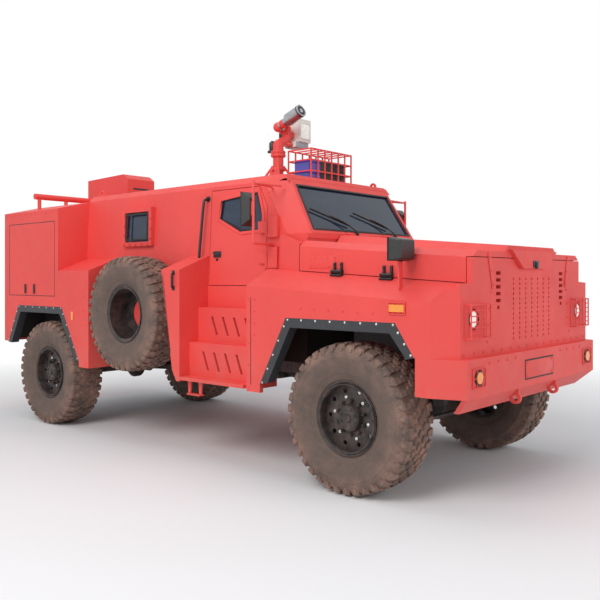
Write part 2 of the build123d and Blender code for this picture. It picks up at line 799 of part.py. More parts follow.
def screen_point(z, y, proud):
    return (screen_x(z) + proud, y, z)


def screen_slab(gap, front, back):
    """Slab in the windscreen's opening, gap inside its edge, between two depths along X."""
    z0, z1 = glass_foot_z + gap, glass_head_z - gap
    half_foot = screen_y(glass_foot_z) - glass_side_margin - gap
    half_head = screen_y(glass_head_z) - glass_side_margin - gap
    return ruled([
        [screen_point(z0, -half_foot, front), screen_point(z0, half_foot, front),
         screen_point(z1, half_head, front), screen_point(z1, -half_head, front)],
        [screen_point(z0, -half_foot, back), screen_point(z0, half_foot, back),
         screen_point(z1, half_head, back), screen_point(z1, -half_head, back)],
    ])


screen_frame -= screen_slab(0, 60, -160)
cowl_front_x = hood_rear_x - 8
cowl = prism_z([(ridge_x(cowl_z), -side_y(cowl_z)), (cowl_front_x, -side_y(cowl_z)),
                (cowl_front_x, side_y(cowl_z)), (ridge_x(cowl_z), side_y(cowl_z))], cowl_plate_z, cowl_z)
screen_frame += cowl - left_wall - other_side(left_wall)
cheek_rear_x, cheek_front_x = ridge_foot_x - 64, hood_rear_x - 8
cheek = prism_z([(cheek_rear_x, side_y(side_foot_z)), (cheek_front_x, crease_y),
                 (cheek_front_x, side_y(side_foot_z))],
                side_foot_z, cowl_z)
cheek = cheek & prism_y([(cheek_rear_x, crease_z(cheek_rear_x) - panel_gap),
                         (cheek_front_x, crease_z(cheek_front_x) - panel_gap), (cheek_front_x, 1958),
                         (ridge_foot_x, cowl_z - 9), (cheek_rear_x, cowl_z - 9)], 0, body_half_width)
for side in (-1, 1):
    y = side * hood_hinge_y
    for end in (-1, 1):
        near, far = y + end * 25, y + end * 48
        screen_frame += rod((hood_rear_x, near, hood_hinge_z), (hood_rear_x, far, hood_hinge_z), 12)
        screen_frame += block(hood_rear_x - 40, hood_rear_x, min(near, far), max(near, far), cowl_z - 12,
                              hood_hinge_z + 2)
    screen_frame += rod((hood_rear_x, y - 48, hood_hinge_z), (hood_rear_x, y + 48, hood_hinge_z),
                        hinge_pin_radius)
save("windscreen_frame", screen_frame)
save("cowl_cheeks", *both_sides(cheek))

windscreen = screen_slab(glass_gap, -glass_recess, -glass_recess - 30)
small_glass = glass_pane(small_window_outline, -20)
save("fixed_glass", windscreen, *both_sides(small_glass))

# Rear box

rear_hinge_x = body_rear_x - 14
rear_hinge_y = -(rear_door_half_width + 28)
rear_section_outer = [
    (-body_half_width, rear_skirt_z), (-body_half_width, rear_box_edge_z),
    (-rear_box_crown_y, rear_box_crown_z), (rear_box_crown_y, rear_box_crown_z),
    (body_half_width, rear_box_edge_z), (body_half_width, rear_skirt_z),
    (body_half_width - plate, rear_skirt_z), (body_half_width - plate, rear_box_edge_z - plate),
    (rear_box_crown_y - 8, rear_box_crown_z - plate), (-rear_box_crown_y + 8, rear_box_crown_z - plate),
    (-body_half_width + plate, rear_box_edge_z - plate), (-body_half_width + plate, rear_skirt_z),
]
rear_body = prism_x(rear_section_outer, body_rear_x, rear_box_front_x)


def arch_cutter(arch, y0, y1, inset=0.0, drop=600):
    points = [
        (arch["rear_foot_x"] - inset, arch["rear_foot_z"]),
        (arch["rear_top_x"] - inset * 0.6, arch["top_z"] + inset),
        (arch["front_top_x"] + inset * 0.6, arch["top_z"] + inset),
        (arch["front_foot_x"] + inset, arch["front_foot_z"]),
    ]
    if drop:
        points.append((arch["front_foot_x"] + inset, arch["front_foot_z"] - drop))
        points.append((arch["rear_foot_x"] - inset, arch["rear_foot_z"] - drop))
    return prism_y(points, y0, y1)


rear_closure = prism_x([(-body_half_width, rear_skirt_z), (-body_half_width, rear_box_edge_z),
                        (-rear_box_crown_y, rear_box_crown_z), (rear_box_crown_y, rear_box_crown_z),
                        (body_half_width, rear_box_edge_z), (body_half_width, rear_skirt_z)],
                       body_rear_x, body_rear_x + wall)
rear_closure -= block(body_rear_x - 1, body_rear_x + wall + 1, -rear_door_half_width - panel_gap,
                      rear_door_half_width + panel_gap, rear_door_bottom_z - panel_gap,
                      rear_door_top_z + panel_gap)
rear_body += rear_closure
front_cheek = prism_x([(rear_box_crown_y, shelf_inner_z), (side_y(shelf_inner_z), shelf_inner_z),
                       (body_half_width, shelf_outer_z), (body_half_width, rear_box_edge_z),
                       (rear_box_crown_y, rear_box_crown_z)],
                      rear_box_front_x - plate, rear_box_front_x)
for piece in both_sides(front_cheek):
    rear_body += piece
rear_body -= arch_cutter(arch_rear, -body_half_width - 1, body_half_width + 1)
rear_hinge_root_x = rear_hinge_x - 2
for z in rear_hinge_z:
    for level in (-1, 1):
        near, far = z + level * (rear_hinge_half + 1), z + level * (rear_hinge_half + 32)
        rear_body += rod((rear_hinge_x, rear_hinge_y, near), (rear_hinge_x, rear_hinge_y, far),
                         rear_hinge_radius)
        rear_body += block(rear_hinge_root_x, body_rear_x, rear_hinge_y - 60, rear_hinge_y, min(near, far),
                           max(near, far))
    bottom, top = z - rear_hinge_half - 32, z + rear_hinge_half + 32
    rear_body += block(rear_hinge_root_x, body_rear_x, rear_hinge_y - 60, rear_hinge_y - 19, bottom, top)
    rear_body += rod((rear_hinge_x, rear_hinge_y, bottom), (rear_hinge_x, rear_hinge_y, top),
                     hinge_pin_radius)
housing = arch_cutter(arch_rear, housing_y, body_half_width - plate, inset=plate)
housing -= arch_cutter(arch_rear, housing_y + plate, body_half_width)
housing = housing & block(body_rear_x + wall, bay_rear_x, 0, body_half_width, floor_bottom_z,
                          arch_top_z + 2 * plate)
save("rear_body", rear_body)
save("wheel_housings", *both_sides(housing))

rear_door = block(body_rear_x, body_rear_x + wall, -rear_door_half_width, rear_door_half_width,
                  rear_door_bottom_z, rear_door_top_z)
for z in rear_hinge_z:
    bottom, top = z - rear_hinge_half, z + rear_hinge_half
    rear_door += block(rear_hinge_root_x, body_rear_x, rear_hinge_y, -rear_door_half_width + 90, bottom, top)
    rear_door += rod((rear_hinge_x, rear_hinge_y, bottom), (rear_hinge_x, rear_hinge_y, top),
                     rear_hinge_radius)
    rear_door -= rod((rear_hinge_x, rear_hinge_y, bottom - 1), (rear_hinge_x, rear_hinge_y, top + 1),
                     hinge_pin_radius + pin_gap)
save("rear_door", rear_door)

# Sponsons: rear quarter behind the spare wheel bay, and the locker in front of it

shelf_section = [
    (body_half_width, sill_z), (body_half_width, shelf_outer_z), (side_y(shelf_inner_z), shelf_inner_z),
    (side_y(shelf_inner_z - plate), shelf_inner_z - plate), (body_half_width - plate, shelf_outer_z - plate),
    (body_half_width - plate, sill_z),
]
quarter = prism_x(shelf_section, rear_box_front_x, bay_rear_x)
closing_section = [
    (tub_half_width, sill_z), (body_half_width - plate, sill_z),
                   (body_half_width - plate, shelf_outer_z - plate),
    (side_y(shelf_inner_z - plate), shelf_inner_z - plate), (side_y(side_foot_z), side_foot_z),
    (tub_half_width, side_foot_z),
]
quarter += prism_x(closing_section, bay_rear_x - plate, bay_rear_x)
quarter -= arch_cutter(arch_rear, 0, body_half_width + 1)
locker_block = prism_x([
    (tub_half_width, sill_z), (body_half_width, sill_z), (body_half_width, shelf_outer_z),
    (side_y(shelf_inner_z), shelf_inner_z), (side_y(side_foot_z), side_foot_z),
    (tub_half_width, side_foot_z)], bay_front_top_x - 100, step_rear_x)


def slanted_front_of_bay(shift):
    """Side view of everything ahead of the spare wheel bay's slanted front edge."""
    return prism_y([
        (bay_front_bottom_x + 60 + shift, sill_z - 50), (bay_front_bottom_x + 60 + shift, sill_z),
        (bay_front_bottom_x + shift, sill_z + 100), (bay_front_top_x + shift, shelf_outer_z),
        (bay_front_top_x - 20 + shift, cowl_z), (step_rear_x + 50, cowl_z), (step_rear_x + 50, sill_z - 50),
    ], 0, body_half_width + 1)


locker_void = prism_x([
    (tub_half_width - 1, sill_z + plate), (body_half_width - plate, sill_z + plate),
    (body_half_width - plate, shelf_outer_z - plate), (side_y(shelf_inner_z - plate), shelf_inner_z - plate),
    (side_y(side_foot_z), side_foot_z), (tub_half_width - 1, side_foot_z)],
    bay_front_top_x - 100, step_rear_x - plate)
locker = locker_block & slanted_front_of_bay(0)
locker -= locker_void & slanted_front_of_bay(plate)
tub_wall = block(arch_rear["front_foot_x"] + plate + 1, firewall_x - plate, tub_half_width - plate,
                 tub_half_width,
                 floor_top_z, side_foot_z)
save("tub_walls", *both_sides(tub_wall))
save("sponson_right", *[other_side(piece) for piece in (quarter, locker)])

long_locker = prism_x(shelf_section, rear_box_front_x, step_rear_x)
long_locker += prism_x(closing_section, step_rear_x - plate, step_rear_x)
long_locker += block(arch_rear["front_foot_x"] + 40, step_rear_x - plate, tub_half_width,
                     body_half_width - plate, sill_z, sill_z + plate)
long_locker -= arch_cutter(arch_rear, 0, body_half_width + 1)
save("sponson_left", long_locker)

# Steps below the doors


def step_y(share):
    return side_foot_y + share * shoulder_width


def step_well():
    """Three ledges that climb inwards, each over a riser with slanted slots."""
    front_x = step_front_x - plate
    well = block(step_rear_x, front_x, side_foot_y - 25, side_foot_y, step_table[0][0] - step_tread,
                 side_foot_z)
    for top_z, outer, inner in step_table:
        well += block(step_rear_x, front_x, step_y(inner), step_y(outer), top_z - step_tread, top_z)
    for upper, lower in zip(step_table, step_table[1:]):
        bottom_z, top_z, face_y = lower[0] - step_tread, upper[0], step_y(upper[1])
        riser = block(step_rear_x, front_x, face_y - 30, face_y, bottom_z, top_z)
        middle = (bottom_z + top_z) / 2
        spacing = step_length / (slot_count + 2)
        for index in range(slot_count):
            x = step_rear_x + spacing * (index + 1.3)
            riser -= prism_y([(x - 14, middle + 95), (x + 14, middle + 95), (x + 84, middle - 75),
                              (x + 56, middle - 75)], face_y - 60, face_y + 60)
        well += riser
    for x in (step_rear_x + 60, step_rear_x + 210):
        foot = [(x - 26, sill_z + 15), (x + 26, sill_z + 15), (x + 14, sill_z - step_bracket_drop),
                (x - 14, sill_z - step_bracket_drop)]
        well += prism_y(foot, step_y(0.76), step_y(0.80))
    well += block(step_rear_x + 46, step_rear_x + 224, step_y(0.70), step_y(0.86),
                  sill_z - step_bracket_drop - 12, sill_z - step_bracket_drop)
    return well


steps = step_well()
save("door_steps", *both_sides(steps))

# Front wings

wing_rear_x = step_front_x


def wing_section(x, outer_y=body_half_width, thickness=plate, inner=crease_y, z_drop=0.0):
    top_out = wing_outer_z(x)
    top_in = crease_z(x) - panel_gap
    return [
        (x, outer_y, sill_z), (x, outer_y, top_out), (x, inner, top_in),
        (x, inner, top_in - thickness * 1.1), (x, outer_y - thickness, top_out - thickness * 0.9),
        (x, outer_y - thickness, sill_z),
    ]


wing = ruled([wing_section(wing_rear_x), wing_section(wing_front_x)])
wing -= arch_cutter(arch_front, 0, body_half_width + 1)
wing -= block(arch_front["front_foot_x"] - 200, wing_front_x + 1, 0, body_half_width + 1, sill_z - 1,
              nose_bottom_z)
shelf_ends = []
for x in (wing_rear_x, hood_rear_x - 8):
    top = crease_z(x) - panel_gap
    shelf_ends.append([(x, crease_y, top), (x, side_y(side_foot_z), top),
                       (x, side_y(side_foot_z), top - plate * 1.1),
                       (x, crease_y, top - plate * 1.1)])
wing += ruled(shelf_ends)
well_front = prism_x([(tub_half_width, sill_z), (body_half_width - plate, sill_z),
                      (body_half_width - plate, wing_outer_z(wing_rear_x) - plate),
                      (side_foot_y, side_foot_z + 100), (side_foot_y, side_foot_z),
                      (tub_half_width, side_foot_z)],
                     step_front_x - plate, step_front_x)
front_wing = wing + well_front
save("front_wings", *both_sides(front_wing))

# Nose panel with its louvres and pressed grille

nose_section_front = [
    (-nose_half_width, nose_bottom_z), (-nose_half_width, nose_corner_z),
    (-crease_y, crease_z(nose_x)), (-crease_y, nose_top_z), (crease_y, nose_top_z),
    (crease_y, crease_z(nose_x)), (nose_half_width, nose_corner_z), (nose_half_width, nose_bottom_z),
]
nose = prism_x(nose_section_front, nose_x - plate, nose_x)
corner = ruled([
    [(nose_x, nose_half_width, nose_bottom_z), (nose_x, nose_half_width, nose_corner_z),
     (nose_x - plate, nose_half_width - plate, nose_corner_z),
     (nose_x - plate, nose_half_width - plate, nose_bottom_z)],
    [(wing_front_x, body_half_width, nose_bottom_z),
     (wing_front_x, body_half_width, wing_outer_z(wing_front_x)),
     (wing_front_x, body_half_width - plate, wing_outer_z(wing_front_x)),
     (wing_front_x, body_half_width - plate, nose_bottom_z)],
])
corner_top = ruled([
    [(nose_x, nose_half_width, nose_corner_z), (nose_x, crease_y, crease_z(nose_x) - panel_gap),
     (nose_x, crease_y, crease_z(nose_x) - plate), (nose_x, nose_half_width, nose_corner_z - plate)],
    [(wing_front_x, body_half_width, wing_outer_z(wing_front_x)),
     (wing_front_x, crease_y, crease_z(wing_front_x) - panel_gap),
     (wing_front_x, crease_y, crease_z(wing_front_x) - plate - 6),
     (wing_front_x, body_half_width, wing_outer_z(wing_front_x) - plate)],
])
for piece in both_sides(corner + corner_top):
    nose += piece
for side in (-1, 1):
    for row in range(louvre_rows):
        z = louvre_top_z - row * louvre_pitch
        half = 36 if row < 5 else 18
        nose -= block(nose_x - 80, nose_x + 20, side * louvre_y - half, side * louvre_y + half, z - 13,
                      z + 13)
for column in range(grille_columns):
    y = (column - (grille_columns - 1) / 2) * grille_pitch_y
    for row in range(grille_rows):
        dimple = Rot(45, 0, 0) * Box(plate / 3, grille_hole, grille_hole)
        nose -= Pos(nose_x, y, grille_foot_z + grille_pitch_z * row) * dimple
for side in (-1, 1):
    nose -= rod((nose_x - 80, side * headlight_y, headlight_z),
                (nose_x + 20, side * headlight_y, headlight_z),
                headlight_radius + running_gap)
save("nose_panel", nose)

headlights = []
for side in (-1, 1):
    headlights.append(rod((nose_x - 70, side * headlight_y, headlight_z),
                          (nose_x - 6, side * headlight_y, headlight_z), headlight_radius))
save("headlights", *headlights)


# Bonnet

def hood_section(x, bulge, inset):
    edge = hood_edge_z(x) - inset
    low = crease_z(x)
    half_low = crease_y - inset
    chamfer_z = hood_edge_z(x) - hood_chamfer_drop - inset * 0.4
    half_top = hood_top_y - inset * 0.6
    right = [(x, half_low, low), (x, half_low, chamfer_z), (x, half_top, edge),
             (x, bulge_outer_y - inset * 0.3, edge),
             (x, bulge_inner_y - inset * 0.3, edge + bulge)]
    left = [(x, -y, z) for x, y, z in reversed(right)]
    return right + left


hood = ruled([hood_section(hood_rear_x, bulge_rear_height, 0), hood_section(nose_x, bulge_front_height, 0)])
hood -= ruled([hood_section(hood_rear_x - 20, bulge_rear_height, hood_wall),
               hood_section(nose_x - hood_wall, bulge_front_height, hood_wall)])
hood -= block(nose_x - plate - panel_gap, nose_x + 1, -crease_y - 1, crease_y + 1, crease_ref_z - 1,
              nose_top_z + panel_gap)
for side in (-1, 1):
    y = side * hood_hinge_y
    hood += block(hood_rear_x, hood_rear_x + 70, y - 24, y + 24, hood_hinge_z - 22, hood_hinge_z - 6)
    hood += rod((hood_rear_x, y - 24, hood_hinge_z), (hood_rear_x, y + 24, hood_hinge_z), 12)
    hood -= rod((hood_rear_x, y - 60, hood_hinge_z), (hood_rear_x, y + 60, hood_hinge_z),
                hinge_pin_radius + pin_gap)
lip_z, beak_top_z, beak_tip_z, beak_half = nose_top_z + panel_gap, nose_top_z + 68, nose_top_z - 74, 220
beak = prism_x([(-bulge_inner_y, beak_top_z), (bulge_inner_y, beak_top_z), (beak_half, beak_tip_z),
                (-beak_half, beak_tip_z)], nose_x + 2, nose_x + 34)
beak += prism_x([(-bulge_inner_y, lip_z), (-bulge_inner_y, beak_top_z), (bulge_inner_y, beak_top_z),
                 (bulge_inner_y, lip_z)], nose_x - 4, nose_x + 4)
hood += beak
save("hood", hood)

# Front bumper with its tow eyes

bumper_plan = [
    (bumper_rear_x, -body_half_width), (wing_front_x, -body_half_width), (bumper_x, -bumper_half_width),
    (bumper_x, bumper_half_width), (wing_front_x, body_half_width), (bumper_rear_x, body_half_width),
    (bumper_rear_x, body_half_width - plate), (wing_front_x - 12, body_half_width - plate),
    (bumper_x - plate, bumper_half_width - plate), (bumper_x - plate, -bumper_half_width + plate),
    (wing_front_x - 12, -body_half_width + plate), (bumper_rear_x, -body_half_width + plate),
]
bumper = prism_z(bumper_plan, bumper_face_bottom_z, bumper_top_z)
top_plan = [
    (nose_x - plate, -nose_half_width + plate), (bumper_x, -bumper_half_width), (bumper_x, bumper_half_width),
    (nose_x - plate, nose_half_width - plate),
]
bumper += prism_z(top_plan, bumper_top_z - 30, bumper_top_z)
corner_plan = [(wing_front_x, body_half_width), (bumper_x, bumper_half_width),
               (nose_x - plate, nose_half_width - plate), (wing_front_x, body_half_width - plate)]
for piece in both_sides(prism_z(corner_plan, bumper_top_z - 30, bumper_top_z)):
    bumper += piece
lip_half_width = bumper_half_width - 108
lip = ruled([
    [(bumper_x - plate, -bumper_half_width, bumper_face_bottom_z),
     (bumper_x, -bumper_half_width, bumper_face_bottom_z),
     (bumper_x, bumper_half_width, bumper_face_bottom_z),
     (bumper_x - plate, bumper_half_width, bumper_face_bottom_z)],
    [(bumper_lip_x - plate, -lip_half_width, bumper_lip_z), (bumper_lip_x, -lip_half_width, bumper_lip_z),
     (bumper_lip_x, lip_half_width, bumper_lip_z), (bumper_lip_x - plate, lip_half_width, bumper_lip_z)],
])
bumper += lip
for side in (-1, 1):
    bumper += block(rail_front_x, bumper_x - plate, side * rail_y - 40, side * rail_y + 40,
                    rail_bottom_z + 30,
                    rail_top_z - 30)
for side in (-1, 1):
    near, far = side * tow_eye_y - tow_eye_width / 2, side * tow_eye_y + tow_eye_width / 2
    bumper += rod((tow_eye_x, near, tow_eye_z), (tow_eye_x, far, tow_eye_z), tow_eye_radius)
    bumper += block(tow_eye_x - tow_eye_neck / 2, tow_eye_x + tow_eye_neck / 2, near, far, tow_eye_z,
                    bumper_face_bottom_z + 15)
    bumper -= rod((tow_eye_x, near - 40, tow_eye_z), (tow_eye_x, far + 40, tow_eye_z), tow_eye_bore)
save("front_bumper", bumper)

# Wheel arch flares


def flare(arch, y0, y1):
    outer = arch_cutter(arch, y0, y1, drop=0)
    return outer - arch_cutter(arch, y0 - 5, y1 + 5, inset=-flare_width)


flare_y0 = body_half_width - flare_depth
flares = []
for arch in (arch_rear, arch_front):
    ring = flare(arch, flare_y0, body_half_width)
    flares.extend(both_sides(ring))
save("wheel_flares", *flares)

# Lamps

lamps = []
for side in (-1, 1):
    lamps.append(rod((bumper_x, side * turn_lamp_y, turn_lamp_z),
                     (bumper_x + 14, side * turn_lamp_y, turn_lamp_z), 42))
side_marker = block(hood_mirror_x - 7, hood_mirror_x + 120, body_half_width, body_half_width + 14, 1420, 1472)
tail_lamp = block(body_rear_x - 22, body_rear_x, rear_box_crown_y + 240, rear_box_crown_y + 360, 1180, 1420)
lamps.extend(both_sides(side_marker) + both_sides(tail_lamp))
save("marker_lamps", *lamps)

# Mirrors


def mirror_head(rear, front, shrink):
    """Tapered shell between a rear rectangle and a smaller front one; each is x, y0, y1, z0, z1."""
    sections = []
    for x, y0, y1, z0, z1 in (rear, front):
        sections.append([(x, y0, z0), (x, y1, z0), (x, y1, z1), (x, y0, z1)])
    shell = ruled(sections)
    return fillet(shell.edges(), shrink)


def door_mirror():
    """Mirror head on a tube frame that stands off the pillar ahead of the left door."""
    x, y = door_hinge_x + 83, side_foot_y + 283
    bottom, top = door_top_z - 395, door_top_z - 90
    head = mirror_head((x - 60, y - 85, y + 74, bottom, top),
                       (x + 10, y - 45, y + 34, bottom + 60, top - 60), 6)
    post_x = x + 22
    head += rod((post_x, y, bottom - 145), (post_x, y, top + 90), mirror_post_radius)
    for z, reach in ((top + 70, 130), (bottom - 145, 60)):
        for foot_x in (door_hinge_x + 12, door_hinge_x + reach):
            head += rod((post_x, y, z), (foot_x, side_y(z) - 2, z), mirror_arm_radius)
    head += block(x - 10, post_x, y - 14, y + 14, bottom + 95, top - 90)
    return head


left_mirror = door_mirror() - left_wall
save("door_mirror_left", left_mirror)
save("door_mirror_right", other_side(left_mirror))


def hood_mirror():
    """Blind-spot mirror on a strap bracket that stands on the left wing."""
    y = crease_y + 134
    z_foot = crease_z(hood_mirror_x) - (y - crease_y) * 0.43
    head = mirror_head((hood_mirror_x - 40, y - 120, y + 120, 1785, 1965),
                       (hood_mirror_x + 60, y - 95, y + 95, 1800, 1945), 14)
    return head + block(hood_mirror_x - 12, hood_mirror_x, y - 22, y + 22, z_foot - 20, 1800)


left_hood_mirror = hood_mirror() - front_wing
save("hood_mirrors", *both_sides(left_hood_mirror))

# Cab interior

seats = []
for x, y in ((520, 430), (520, -430), (-420, 430), (-420, -430)):
    seat = block(x - 240, x + 240, y - 240, y + 240, floor_top_z + 300, floor_top_z + 430)
    seat += block(x - 240, x - 130, y - 230, y + 230, floor_top_z + 430, floor_top_z + 1100)
    seat += block(x - 180, x + 180, y - 180, y + 180, floor_top_z, floor_top_z + 300)
    seats.append(seat)
save("seats", *seats)

dash_rear_x, dash_front_x = firewall_x - plate - 330, firewall_x - plate
dash_half = tub_half_width - plate - 5
dash = prism_y([(dash_rear_x, 1700), (dash_front_x, 1600), (dash_front_x, 1960), (dash_rear_x + 50, 1940)],
               -dash_half, dash_half)
column_end = (900, 430, 1800)
dash += rod((1160, 430, 1720), column_end, 28)
wheel_plane = Plane(origin=column_end, z_dir=(-0.93, 0, 0.36))
dash += wheel_plane * Torus(steering_wheel_radius, 15)
dash += wheel_plane * Box(2 * steering_wheel_radius, 40, 12)
save("dashboard", dash)

# Roof equipment

roof_box = prism_y([(roof_box_rear_x, rear_box_crown_z), (roof_box_front_x, rear_box_crown_z),
                    (roof_box_front_x, roof_box_top_z - 60), (roof_box_front_x - 90, roof_box_top_z),
                    (roof_box_rear_x, roof_box_top_z - 20)], -roof_box_half_width, roof_box_half_width)
save("roof_box", roof_box)

rail_bar = rod((roof_rail_x, roof_box_half_width, roof_rail_z),
               (roof_rail_x, roof_rail_half_width, roof_rail_z),
               roof_rail_radius)
rear_roof_fall = (rear_box_crown_z - rear_box_edge_z) / (body_half_width - rear_box_crown_y)
for y in (roof_rail_half_width - 420, roof_rail_half_width - 60):
    roof_z = rear_box_crown_z - max(0, y - rear_box_crown_y) * rear_roof_fall
    rail_bar += rod((roof_rail_x, y, roof_z - 6), (roof_rail_x, y, roof_rail_z), 22)
rail_bar -= rear_body
save("roof_rail", *both_sides(rail_bar))

light_body = block(light_bar_x - 90, light_bar_x + 90, -light_bar_half_width + 40, light_bar_half_width - 40,
                   roof_top_z + 30, roof_top_z + 210)
light_body += block(light_bar_x - 60, light_bar_x + 60, -150, 150, roof_top_z, roof_top_z + 40)
save("light_bar", light_body)

cage = None
for z in (roof_top_z + 90, roof_top_z + 195, light_bar_top_z):
    ring = block(light_bar_x - 150, light_bar_x + 150, -light_bar_half_width, light_bar_half_width, z - 6,
                 z + 6)
    ring -= block(light_bar_x - 138, light_bar_x + 138, -light_bar_half_width + 12, light_bar_half_width - 12,
                  z - 20, z + 20)
    cage = ring if cage is None else cage + ring
for index in range(7):
    y = -light_bar_half_width + 6 + index * (2 * light_bar_half_width - 12) / 6
    for x in (light_bar_x - 144, light_bar_x + 144):
        cage += block(x - 6, x + 6, y - 6, y + 6, roof_top_z, light_bar_top_z)
    cage += block(light_bar_x - 144, light_bar_x + 144, y - 6, y + 6, light_bar_top_z - 6,
                  light_bar_top_z + 6)
save("light_cage", cage)

# Fire monitor: base, swivel and nozzle

base = block(monitor_x - 170, monitor_x + 170, -170, 170, roof_top_z, roof_top_z + 20)
base += rod((monitor_x, 0, roof_top_z), (monitor_x, 0, monitor_pan_z - 0.5), 55)
for dx, dy in ((-1, -1), (-1, 1), (1, -1), (1, 1)):
    base += rod((monitor_x + dx * 150, dy * 150, roof_top_z + 10),
                (monitor_x + dx * 40, dy * 40, roof_top_z + 230),
                12)
save("monitor_base", base)

swivel = rod((monitor_x, 0, monitor_pan_z), (monitor_x, 0, monitor_pan_z + 110), 56)
elbow_points = [
    (monitor_x, 0, monitor_pan_z + 100), (monitor_x, monitor_elbow_y, monitor_pan_z + 170),
    (monitor_x, monitor_elbow_y, monitor_tilt_z),
]
for start, end in zip(elbow_points, elbow_points[1:]):
    swivel += rod(start, end, monitor_pipe_radius)
for point in elbow_points:
    swivel += Pos(*point) * Sphere(monitor_pipe_radius + 3)
swivel += rod((monitor_x, monitor_elbow_y, monitor_tilt_z), (monitor_x, monitor_flange_y, monitor_tilt_z), 56)
lamp_y = monitor_elbow_y + monitor_pipe_radius
swivel += block(monitor_x - 30, monitor_x + 30, monitor_elbow_y, lamp_y + 40, monitor_tilt_z - 90,
                monitor_tilt_z - 30)
save("monitor_swivel", swivel)

nozzle = rod((monitor_x, monitor_flange_y - 0.5, monitor_tilt_z), (monitor_x, 0, monitor_tilt_z),
             monitor_pipe_radius)
nozzle += Pos(monitor_x, 0, monitor_tilt_z) * Sphere(monitor_pipe_radius + 3)
nozzle += rod((monitor_x, 0, monitor_tilt_z), (monitor_x + 150, 0, monitor_tilt_z + 60),
              monitor_pipe_radius - 6)
nozzle += rod((monitor_x + 140, 0, monitor_tilt_z + 56), (monitor_x + 320, 0, monitor_tilt_z + 128), 66)
save("monitor_nozzle", nozzle)

lamp = block(monitor_x - 80, monitor_x + 110, lamp_y + 40, lamp_y + 220, monitor_tilt_z - 130,
             monitor_tilt_z + 110)
lamp += block(monitor_x - 60, monitor_x + 90, lamp_y + 0.3, lamp_y + 200, monitor_tilt_z - 190,
              monitor_tilt_z - 130)
save("search_lamp", lamp)
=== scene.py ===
"""Armoured fire reconnaissance vehicle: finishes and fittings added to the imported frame.

Metres, +X forward, +Y to the vehicle's left, +Z up, the origin on the ground
under the vehicle's middle.
"""
import json
import math

import bmesh
import bpy
from bpy.props import FloatProperty, FloatVectorProperty, IntProperty, PointerProperty
from mathutils import Matrix, Vector


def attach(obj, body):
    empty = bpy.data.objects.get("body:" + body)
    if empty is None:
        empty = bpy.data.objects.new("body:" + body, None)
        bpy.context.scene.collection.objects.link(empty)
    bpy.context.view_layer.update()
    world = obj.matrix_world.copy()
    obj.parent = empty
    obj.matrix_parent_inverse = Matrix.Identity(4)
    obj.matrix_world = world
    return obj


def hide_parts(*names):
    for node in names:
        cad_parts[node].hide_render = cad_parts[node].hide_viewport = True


bl_info = {
    "name": "Fire reconnaissance vehicle",
    "version": (1, 0, 0),
    "blender": (4, 5, 0),
    "location": "View3D > Sidebar > Vehicle",
    "description": "Builds the tyres, fittings and finishes of a fire reconnaissance vehicle on its frame",
    "category": "Object",
}

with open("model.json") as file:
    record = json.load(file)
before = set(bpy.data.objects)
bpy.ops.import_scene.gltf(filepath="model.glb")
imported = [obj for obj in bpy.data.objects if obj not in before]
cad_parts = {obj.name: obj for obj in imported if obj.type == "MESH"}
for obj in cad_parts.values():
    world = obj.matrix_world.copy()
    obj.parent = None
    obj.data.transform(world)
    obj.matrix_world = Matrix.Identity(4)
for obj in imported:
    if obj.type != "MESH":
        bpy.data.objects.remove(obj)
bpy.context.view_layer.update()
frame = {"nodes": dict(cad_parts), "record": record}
BODY_OF = {node: body for body, nodes in frame["record"]["behaviour"]["bodies"].items() for node in nodes}

FRONT_AXLE_X = 2.120
REAR_AXLE_X = -2.153
AXLE_Z = 0.585
WHEEL_MID_Y = 1.061
SPARE_PLACE = Vector((-0.675, -1.097, 1.300))
SIDE_Y = 1.254
WHEELS = [  # name, centre
    (f"{end}_{side}", Vector((x, y, AXLE_Z)))
    for end, x in (("front", FRONT_AXLE_X), ("rear", REAR_AXLE_X))
    for side, y in (("right", -WHEEL_MID_Y), ("left", WHEEL_MID_Y))
]
TYRES = [(f"tyre_{name}", centre) for name, centre in WHEELS] + [("spare_tyre", SPARE_PLACE)]
# Bounds of the faces behind the wheels whose paint is darkened to near black as painted shade.
ARCH_INNER_Y = 1.160
ARCH_TOP_Z = 1.375
ARCH_SPANS = ((1.150, 2.800), (-3.040, -1.430))
MIRROR_SHELL_FRONT = 1.0856
MIRROR_SHELL_FOOT = 2.075
MIRROR_SHELL_HEAD = 2.420
WING_MIRROR_FOOT = 1.785
WINDOW_OUTLINE = [  # x and z
    (0.330, 2.222), (0.358, 2.406), (0.832, 2.452), (0.899, 2.238), (0.893, 2.098), (0.624, 2.101),
]
SCREEN_FOOT = Vector((1.4193, 0, 2.090))
SCREEN_HEAD = Vector((1.1766, 0, 2.500))
SCREEN_UP = (SCREEN_HEAD - SCREEN_FOOT).normalized()
SCREEN_OUT = Vector((SCREEN_UP.z, 0, -SCREEN_UP.x))
NOSE_X = 3.063
BUMPER_X = 3.125
PLATE_X = 3.122
CAB_FLOOR_Z = 0.970
ROOF_Z = 2.600
MONITOR_X = 0.300
TILT_Z = 3.240
FULL_TURN = 2 * math.pi
SHARP_ANGLE = math.radians(32)


def side_y(z):
    """Distance of the cab's leaning side from the middle at height z."""
    return 0.897 - 0.05 * (z - 1.540)


# Mesh helpers

def spread(verts, matrix):
    for vert in verts:
        vert.co = matrix @ vert.co


def new_verts(bm, before):
    return [vert for vert in bm.verts if vert not in before]


def edges_of(verts):
    return list({edge for vert in verts for edge in vert.link_edges})


def bevelled(bm, edges, width, segments=2):
    return bmesh.ops.bevel(bm, geom=edges, offset=width, offset_type="OFFSET", affect="EDGES",
                           segments=segments, profile=0.5, material=-1)["verts"]


